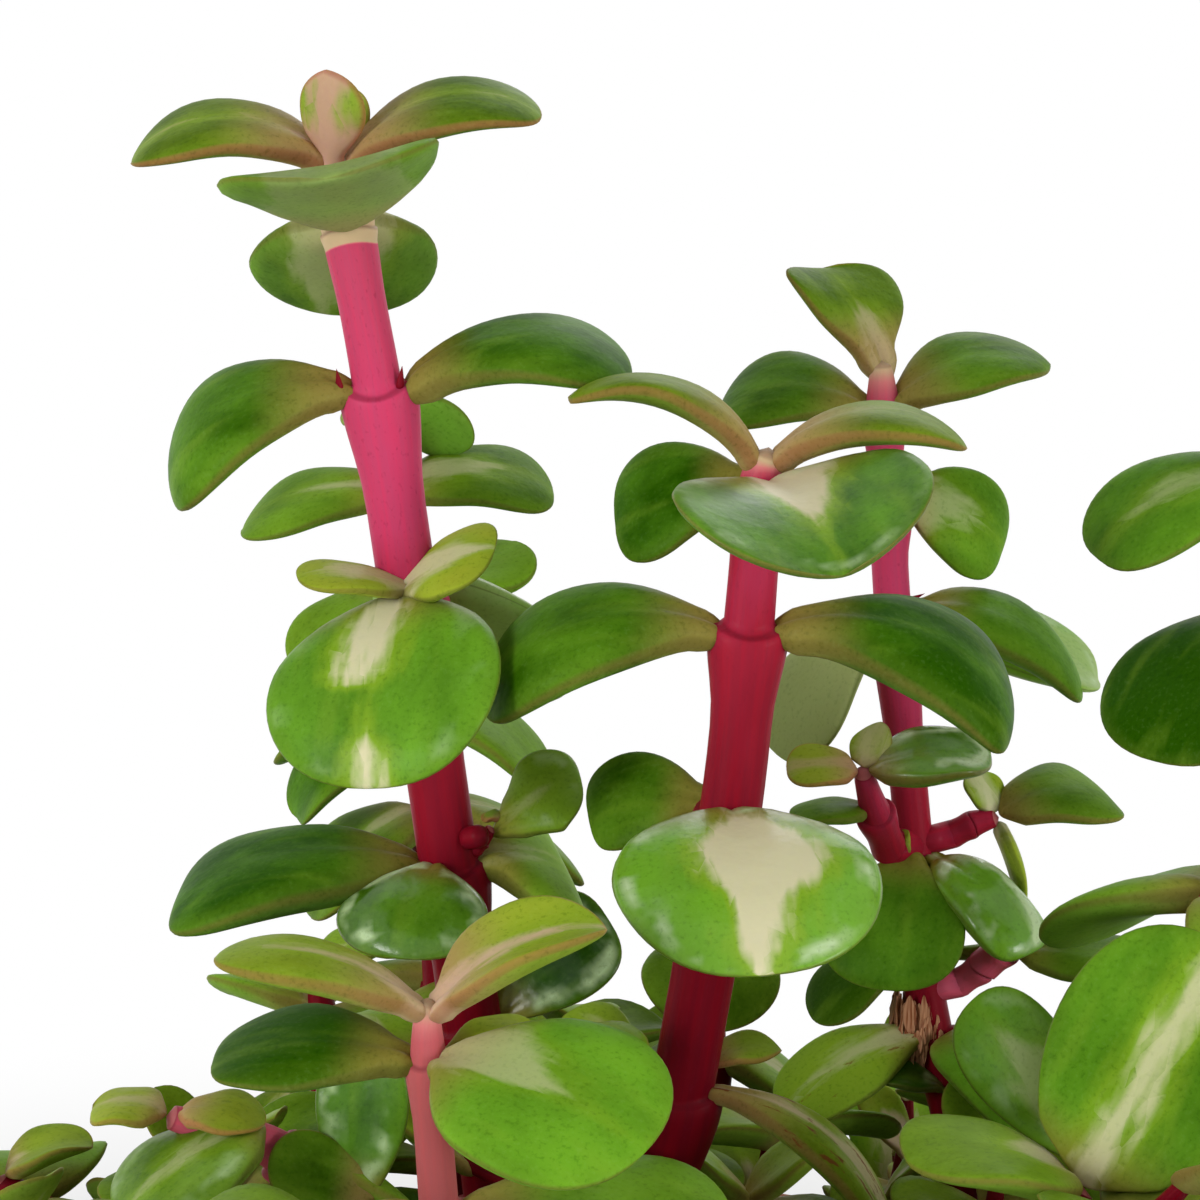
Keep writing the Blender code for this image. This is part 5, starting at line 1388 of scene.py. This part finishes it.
def knob_tube(foot, tip, radius, flatness, rng):
    """Rings round the line from foot to tip, at the share s, with the radius times 1 - s^flatness."""
    foot, tip = np.array(foot), np.array(tip)
    share = np.array([0.0, 0.2, 0.4, 0.6, 0.75, 0.87, 0.94, 0.98])
    angle = math.tau * np.arange(KNOB_AROUND) / KNOB_AROUND
    ahead = unit(tip - foot)
    right = unit(np.cross((0.0, 1.0, 0.1), ahead))
    ring = np.cos(angle)[:, None] * right + np.sin(angle)[:, None] * np.cross(ahead, right)
    reach = radius * (1.0 - share**flatness)
    grid = foot + share[:, None, None] * (tip - foot) + reach[:, None, None] * ring[None]
    points = np.vstack([[foot - 0.1 * ahead], grid.reshape(-1, 3), [tip]])
    offset = np.where(share > 0.7, 0.0, 0.2)[:, None]
    measures = {
        "bark": grid_measure(
            radius * np.cos(angle), share[:, None],
            rng.uniform(0.0, NOISE_SPREAD) + radius * np.sin(angle)),
        "growth": grid_measure(offset, KNOB_RED_HEIGHT, np.zeros(KNOB_AROUND)),
    }
    return Tube(points, len(share), KNOB_AROUND, measures)


def dry_papery_scale():
    """Dead scale leaf: thin brown fibres, dry and matt."""
    material, shader, add = new_material("dry_papery_scale")
    blade = add("Attribute", attribute_name="blade").outputs["Vector"]
    fibres_at = add("VectorMath", blade, (0.4, 5, 1), operation="MULTIPLY")
    fibres = add("TexNoise", Vector=fibres_at, Scale=1, Detail=3)
    spread = add("MapRange", fibres, 0.35, 0.65, 0, 1)
    colour = add("Mix", spread, linear("#8a4a26"), linear("#d19a74"), **COLOURS)
    fill(shader, Base_Color=colour, Roughness=0.85)
    return material


def scale_tube(rng):
    """A narrow leaf that hangs down from a place on the ring round the rear stem's low joint."""
    turn = rng.uniform(0.0, math.tau)
    centre = along_joints(SHOOTS["rear"].joints, np.array([rng.uniform(*RUFF_JOINTS)]))[0]
    away = np.array([math.cos(turn), math.sin(turn), 0.0])
    base = centre + rng.uniform(*RUFF_RADIUS) * away + RUFF_SHIFT
    heading = math.degrees(turn) + rng.uniform(-25.0, 25.0)
    scale = new_leaf("scale", base, heading, rng.uniform(*SCALE_HANG), rng.uniform(*SCALE_CURL),
                     rng.uniform(*SCALE_LENGTH), rng.uniform(*SCALE_WIDTH), 0.3, 0.0, "", 0)
    return leaf_tube(scale, Looks(thick=0.16, roundness=0.8), rng, 0.2, SCALE_ROWS, SCALE_ROWS)


rng = np.random.default_rng(SEED + 3)
little = []
for *sizes, roll, looks in LITTLE_LEAVES:
    leaf = new_leaf("little", *sizes, LITTLE_CUP, roll, "", 0)
    little.append(leaf_tube(leaf, looks, rng, LITTLE_TUCK))
make_piece("little_leaves", little, leaf_skin, "leaf_skin")
make_piece("stem_knobs", [knob_tube(*numbers, rng) for numbers in KNOBS], stem_skin, "stem_skin")
scales = [scale_tube(rng) for _ in range(SCALE_COUNT)]
make_piece("dry_scales", scales, dry_papery_scale(), "leaf_skin")
print(len(little), "little leaves,", len(KNOBS), "knobs and", len(scales), "dry scales")

# %% [markdown]
# ## The clay pot
#
# A common flowerpot is pressed or thrown from red clay and fired unglazed: a tapered wall, a thick band
# at the rim to lift it by, and holes in the floor to let the water out. It is round, so a profile
# turned about the upright axis makes it. The profile is written as corners with a rounding radius each,
# because no edge of a clay pot is sharp. The holes are cut with a Boolean, which is then applied.

# %% Turn the pot
POT_AROUND = 160
POT_ROUNDING_STEPS, POT_STEP, POT_WOBBLE = 6, 3.0, 0.0012
DRAIN_HOLES, DRAIN_RING, DRAIN_RADIUS, DRAIN_AROUND = 4, 18.0, 4.0, 40
DRAIN_FROM, DRAIN_TO = -4.0, 9.0
SHARP_ANGLE = 38.0
# Radius, height and rounding of each corner, from the middle of the underside, over the rim, inwards.
POT_CORNERS = (
    (0, 0, 0), (31, 0, 0), (34, 0, 1.4), (44.7, 69, 0.8), (49.2, 70, 1.3), (50, 90, 1.6),
    (43.8, 90, 1.6), (38, 52, 4), (30.9, 5, 2.4), (12, 5, 0), (0, 5, 0))


def rounded_profile(corners, steps):
    """Each corner becomes a quadratic curve that starts and ends its rounding radius away from it."""
    places = np.array([corner[:2] for corner in corners])
    line = [places[:1]]
    share = np.linspace(0.0, 1.0, steps)[:, None]
    for k in range(1, len(corners) - 1):
        here, before, after = places[k], places[k - 1], places[k + 1]
        start = here + unit(before - here) * corners[k][2]
        end = here + unit(after - here) * corners[k][2]
        if corners[k][2] == 0.0:
            line.append(here[None])
        else:
            line.append((1.0 - share) ** 2 * start + 2.0 * share * (1.0 - share) * here + share**2 * end)
    line.append(places[-1:])
    return np.vstack(line)


def spaced(line, most):
    """The same line with points put in so that no step is longer than this."""
    steps = np.linalg.norm(np.diff(line, axis=0), axis=1)
    parts = [np.linspace(a, b, max(1, math.ceil(step / most)), endpoint=False)
             for a, b, step in zip(line[:-1], line[1:], steps)]
    return np.vstack(parts + [line[-1:]])


def turned_tube(profile, around, wobble=0.0):
    """Radius times (cos a, sin a) at each height. The wobble makes the radius swell twice round."""
    angle = math.tau * np.arange(around) / around
    radius = profile[1:-1, :1] * (1.0 + wobble * np.cos(2.0 * angle + 0.7))[None]
    grid = over_grid(radius * np.cos(angle), radius * np.sin(angle), profile[1:-1, 1:])
    ends = [(0.0, 0.0, profile[0, 1]), (0.0, 0.0, profile[-1, 1])]
    return Tube(np.vstack([ends[:1], grid.reshape(-1, 3), ends[1:]]), len(profile) - 2, around, {})


def cut_drain_holes(pot):
    """Upright cylinders taken out of the floor, with the result written into the mesh."""
    cutters = []
    line = np.array([(0.0, DRAIN_FROM), (DRAIN_RADIUS, DRAIN_FROM),
                     (DRAIN_RADIUS, DRAIN_TO), (0.0, DRAIN_TO)])
    tube = turned_tube(line, DRAIN_AROUND)
    for k in range(DRAIN_HOLES):
        turn = math.tau * (k + 0.5) / DRAIN_HOLES
        quads, fans = tube_faces(tube.rings, tube.around)
        points = (tube.points + (DRAIN_RING * math.cos(turn), DRAIN_RING * math.sin(turn), 0.0)) * MM
        mesh = bpy.data.meshes.new("drain")
        mesh.from_pydata(points.tolist(), [], quads.tolist() + fans.tolist())
        cutter = bpy.data.objects.new("drain", mesh)
        bpy.context.scene.collection.objects.link(cutter)
        cut = pot.modifiers.new("drain", "BOOLEAN")
        cut.operation = "DIFFERENCE"
        cut.object = cutter
        cutters.append(cutter)
    evaluated = pot.evaluated_get(bpy.context.evaluated_depsgraph_get())
    mesh = bpy.data.meshes.new_from_object(evaluated)
    pot.modifiers.clear()
    pot.data = mesh
    for cutter in cutters:
        bpy.data.objects.remove(cutter)
    mesh.shade_smooth()
    mesh.set_sharp_from_angle(angle=math.radians(SHARP_ANGLE))


def fired_red_clay():
    """Unglazed terracotta: dry, matt and porous, with throwing lines and lime bloom."""
    material, shader, add = new_material("fired_red_clay")
    place = add("TexCoord").outputs["Object"]
    _, _, height = add("SeparateXYZ", place).outputs

    # Clouds of 14 mm from the fire, and throwing lines 1.3 mm apart that run level round the pot.
    mottle = add("TexNoise", Vector=place, Scale=1 / (14 * MM), Detail=5)
    fine = add("TexNoise", Vector=place, Scale=1 / (0.9 * MM), Detail=3)
    lines_at = add("VectorMath", place, (0.04, 0.04, 1), operation="MULTIPLY")
    lines = add("TexNoise", Vector=lines_at, Scale=1 / (1.3 * MM), Detail=3)
    base = add("Mix", mottle, linear("#a9583a"), linear("#c98058"), **COLOURS)
    turned_marks = add("MapRange", lines, 0.4, 0.7, 0, 0.3)
    lined = add("Mix", turned_marks, base, linear("#93492f"), **COLOURS)

    # Lime from the water blooms white on the lowest 60 mm. Specks of grog are about a millimetre.
    bloom_low = add("MapRange", height, 60 * MM, 4 * MM, 0, 0.65)
    cloud = add("MapRange", mottle, 0.46, 0.68, 0, 1)
    bloom = add("Math", bloom_low, cloud, operation="MULTIPLY")
    bloomed = add("Mix", bloom, lined, linear("#dcc6b4"), **COLOURS)
    specks = add("MapRange", fine, 0.6, 0.72, 0, 0.35)
    colour = add("Mix", specks, bloomed, linear("#7c3f2a"), **COLOURS)
    rough = add("MapRange", fine, 0.3, 0.7, 0.8, 0.94)
    rings = add("Bump", Strength=1, Distance=0.16 * MM, Height=lines)
    pits = add("Bump", Strength=1, Distance=0.08 * MM, Height=fine, Normal=rings)
    fill(shader, Base_Color=colour, Roughness=rough, Normal=pits, IOR=1.50)
    return material


red_clay = fired_red_clay()
pot_profile = spaced(rounded_profile(POT_CORNERS, POT_ROUNDING_STEPS), POT_STEP)
pot_shell = turned_tube(pot_profile, POT_AROUND, POT_WOBBLE)
pot = make_piece("flower_pot", [pot_shell], red_clay, "fired_clay", "clay_pot")
cut_drain_holes(pot)
print("pot profile of", len(pot_profile), "points,", len(pot.data.polygons), "faces with its drain holes")

# %% [markdown]
# ## The potting mix
#
# The plant stands in a gritty mix of peat, bark and white perlite, because its roots rot in heavy soil.
# One turned surface makes the body of it, and waves of many sizes added to its top make it lumpy.
# On top lie loose grains, each a small ball of a few dozen faces, squashed and dented by chance.

# %% Make the potting mix
MIX_AROUND, MIX_ROUNDING_STEPS, MIX_STEP = 150, 4, 1.2
MIX_RADIUS, MIX_CROWN, MIX_FALL, MIX_HIGHEST = 40.9, 2.0, 0.9, 86.0
MIX_SIDE_TO, MIX_TOP_FROM = 76.0, 78.0
SCATTER_RADIUS, GRAIN_SIZES, GRAIN_DENTS = 39.5, (0.6, 1.3), (0.78, 1.12)
GRAIN_RINGS, GRAIN_AROUND, GRAIN_LIFT = 4, 6, 0.3
LUMP_HEIGHT, LUMP_SHORTEST, LUMP_LONGEST, LUMP_WAVES = 0.9, 1.6, 14.0, 60
MIX_CORNERS = ((0, 5.3, 0), (30.5, 5.3, 1.5), (40.9, 78.4, 1.4), (0, 82, 0))


def lumps(x, y, rng, shortest, longest, count):
    """The mean of many plane waves of random direction, length and phase, which is never regular."""
    turn = rng.uniform(0.0, math.tau, count)
    length = np.exp(rng.uniform(math.log(shortest), math.log(longest), count))
    phase = rng.uniform(0.0, math.tau, count)
    wave = np.sin(math.tau * (x[..., None] * np.cos(turn) + y[..., None] * np.sin(turn)) / length + phase)
    return (wave * np.sqrt(length / longest)).sum(axis=-1) / math.sqrt(count)


def mix_height(x, y):
    """The mound, at the share r of the way out: level plus crown times 1 - r^2, less fall times r^4."""
    out = np.hypot(x, y) / MIX_RADIUS
    return SOIL_LEVEL + MIX_CROWN * (1.0 - out**2) - MIX_FALL * out**4


def soil_stuff(name, low, high, grain, rough):
    """Bits of the mix: a colour that changes with the grain, and no shine."""
    material, shader, add = new_material(name)
    place = add("TexCoord").outputs["Object"]
    noise = add("TexNoise", Vector=place, Scale=1 / (grain * MM), Detail=5)
    spread = add("MapRange", noise, 0.35, 0.65, 0, 1)
    colour = add("Mix", spread, linear(low), linear(high), **COLOURS)
    bump = add("Bump", Strength=1, Distance=0.3 * MM, Height=noise)
    fill(shader, Base_Color=colour, Roughness=rough, Normal=bump)
    return material


def grain_tube(place, size, rng):
    """A ball of a few rings, scaled by its three sizes, dented by chance and turned any way."""
    angle = math.tau * np.arange(GRAIN_AROUND) / GRAIN_AROUND
    down = np.linspace(-1.0, 1.0, GRAIN_RINGS + 2)[1:-1, None]
    out = np.sqrt(1.0 - down**2)
    grid = over_grid(out * np.cos(angle), out * np.sin(angle), down)
    ball = np.vstack([[(0.0, 0.0, -1.0)], grid.reshape(-1, 3), [(0.0, 0.0, 1.0)]])
    ball = ball * rng.uniform(*GRAIN_DENTS, (len(ball), 1)) * size
    turn = Matrix.Rotation(rng.uniform(0.0, math.tau), 3, Vector(rng.normal(size=3)).normalized())
    return Tube(ball @ np.array(turn).T + place, GRAIN_RINGS, GRAIN_AROUND, {})


def scatter(count, sizes, rng):
    """Grains of the mix, each with its middle a little over the surface."""
    grains = []
    for _ in range(count):
        out, turn = SCATTER_RADIUS * math.sqrt(rng.uniform()), rng.uniform(0.0, math.tau)
        x, y = out * math.cos(turn), out * math.sin(turn)
        size = np.array(sizes) * rng.uniform(*GRAIN_SIZES)
        place = np.array([x, y, mix_height(x, y) + GRAIN_LIFT * size.min()])
        grains.append(grain_tube(place, size, rng))
    return grains


rng = np.random.default_rng(SEED + 2)
mix_profile = spaced(rounded_profile(MIX_CORNERS, MIX_ROUNDING_STEPS), MIX_STEP)
mix = turned_tube(mix_profile, MIX_AROUND)
x, y, z = mix.points.T
on_top = ease(z, MIX_SIDE_TO, MIX_TOP_FROM) * (np.hypot(x, y) < MIX_RADIUS - 0.1)
level = mix_height(x, y) + LUMP_HEIGHT * lumps(x, y, rng, LUMP_SHORTEST, LUMP_LONGEST, LUMP_WAVES)
mix.points[:, 2] = z + on_top * (np.minimum(level, MIX_HIGHEST) - np.maximum(z, MIX_TOP_FROM))
peat = soil_stuff("damp_peat", "#2a1c13", "#4b3422", 0.8, 0.95)
make_piece("potting_mix", [mix], peat, "potting_mix", "potting_soil")
make_piece("peat_crumbs", scatter(420, (1.3, 1.0, 0.8), rng), peat, "potting_mix")
bark = soil_stuff("pine_bark", "#4a2a18", "#7a5233", 1.2, 0.85)
make_piece("bark_chips", scatter(130, (2.4, 1.3, 0.6), rng), bark, "potting_mix")
perlite = soil_stuff("white_perlite", "#cfcac0", "#f0ede6", 0.5, 0.9)
make_piece("perlite_grains", scatter(150, (1.0, 0.9, 0.8), rng), perlite, "potting_mix")
print("the mix stands", round(float(mix.points[:, 2].max()), 1), "mm high at most")

# %% [markdown]
# ## Light and ground
#
# Soft light from all round shows a colour as it is. Two small softboxes in front, left and right and a
# little above the leaves, model the forms and draw a soft gleam along each fleshy rim, which the leaf
# skin adds to with a painted highlight. A larger, weaker one high at the back parts the leaves from each
# other. The ground is pale and matt near the pot, where it takes the shadow, and turns to plain white
# further out, but only for the eye: a light path keeps the white from lighting the plant.

# %% Set the light and the ground
HORIZON_LIGHT = 0.74
ZENITH_LIGHT = 0.30
LEFT_WATTS, RIGHT_WATTS, REAR_WATTS = 1.15, 0.90, 0.60
LAMP_TARGET = 0.7
GROUND_HALF = 12.0
SHADOW_GROUND, WHITE_GROUND = 0.16, 0.34


def aim_lamp(name, watts, size, place):
    """A square area lamp that looks at the middle of the plant."""
    data = bpy.data.lights.new(name, "AREA")
    data.energy = watts
    data.size = size
    lamp = bpy.data.objects.new(name, data)
    target = Vector((0.0, 0.0, LAMP_TARGET * solid_box[1].z))
    lamp.location = place
    lamp.rotation_euler = (target - lamp.location).to_track_quat("-Z", "Y").to_euler()
    bpy.context.scene.collection.objects.link(lamp)


def seen_white(tree):
    """One where a camera, glossy or transmission ray looks, which are the rays that show a background."""
    ray = add_node(tree, "LightPath").outputs
    either = add_node(tree, "Math", ray["Is Camera Ray"], ray["Is Glossy Ray"], operation="MAXIMUM")
    return add_node(tree, "Math", either, ray["Is Transmission Ray"], operation="MAXIMUM")


def set_world():
    """White for the eye and for reflections. What lights the plant is a tent, brightest at its sides."""
    world = bpy.data.worlds.new("studio")
    bpy.context.scene.world = world
    world.use_nodes = True
    tree = world.node_tree
    tree.nodes.clear()
    _, _, upward = add_node(tree, "SeparateXYZ", add_node(tree, "TexCoord").outputs["Generated"]).outputs
    tent = add_node(tree, "MapRange", upward, 0.1, 0.9, HORIZON_LIGHT, ZENITH_LIGHT)
    strength = add_node(tree, "MapRange", seen_white(tree), 0, 1, tent, 1)
    glow = add_node(tree, "Background", Color=(1, 1, 1, 1), Strength=strength)
    add_node(tree, "OutputWorld", Surface=glow)


def make_ground():
    """A flat sheet: matt near the pot, and seen as plain white beyond it."""
    material, shader, add = new_material("matt_paper_ground")
    fill(shader, Base_Color=linear("#f4f4f2"), Roughness=0.9)
    away = add("VectorMath", add("TexCoord").outputs["Object"], operation="LENGTH")
    far = add("MapRange", away, SHADOW_GROUND, WHITE_GROUND, 0, 1, **SMOOTH)
    tree = material.node_tree
    shown = add("Math", far, seen_white(tree), operation="MULTIPLY")
    glow = add("Emission", Color=(1, 1, 1, 1), Strength=1)
    fill(tree.nodes["Material Output"], Surface=add("MixShader", shown, shader, glow))
    corners = [(x * GROUND_HALF, y * GROUND_HALF, 0.0) for x, y in ((-1, -1), (1, -1), (1, 1), (-1, 1))]
    mesh = bpy.data.meshes.new("ground")
    mesh.from_pydata(corners, [], [(0, 1, 2, 3)])
    mesh.materials.append(material)
    ground = bpy.data.objects.new("ground", mesh)
    bpy.context.scene.collection.objects.link(ground)
    ground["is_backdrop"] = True


set_world()
make_ground()
aim_lamp("left_softbox", LEFT_WATTS, 0.15, Vector((-0.36, -0.34, 0.30)))
aim_lamp("right_softbox", RIGHT_WATTS, 0.15, Vector((0.40, -0.32, 0.24)))
aim_lamp("rear_softbox", REAR_WATTS, 0.30, Vector((0.15, 0.55, 0.45)))
bpy.context.scene.view_settings.view_transform = "Standard"
print("tent", HORIZON_LIGHT, "to", ZENITH_LIGHT)
print("softboxes of", LEFT_WATTS, RIGHT_WATTS, REAR_WATTS, "W")

# %% [markdown]
# ## The size, and the end
#
# The dressed plant has to keep the size of its solids. Both boxes are printed side by side, so that they
# can be compared.

# %% Write the sizes and finish
dressed_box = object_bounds()
sizes = {
    "solids": [list(corner) for corner in solid_box],
    "dressed": [list(corner) for corner in dressed_box],
}
for name, (low, high) in sizes.items():
    print(name, [round(v / MM, 1) for v in low], [round(v / MM, 1) for v in high])
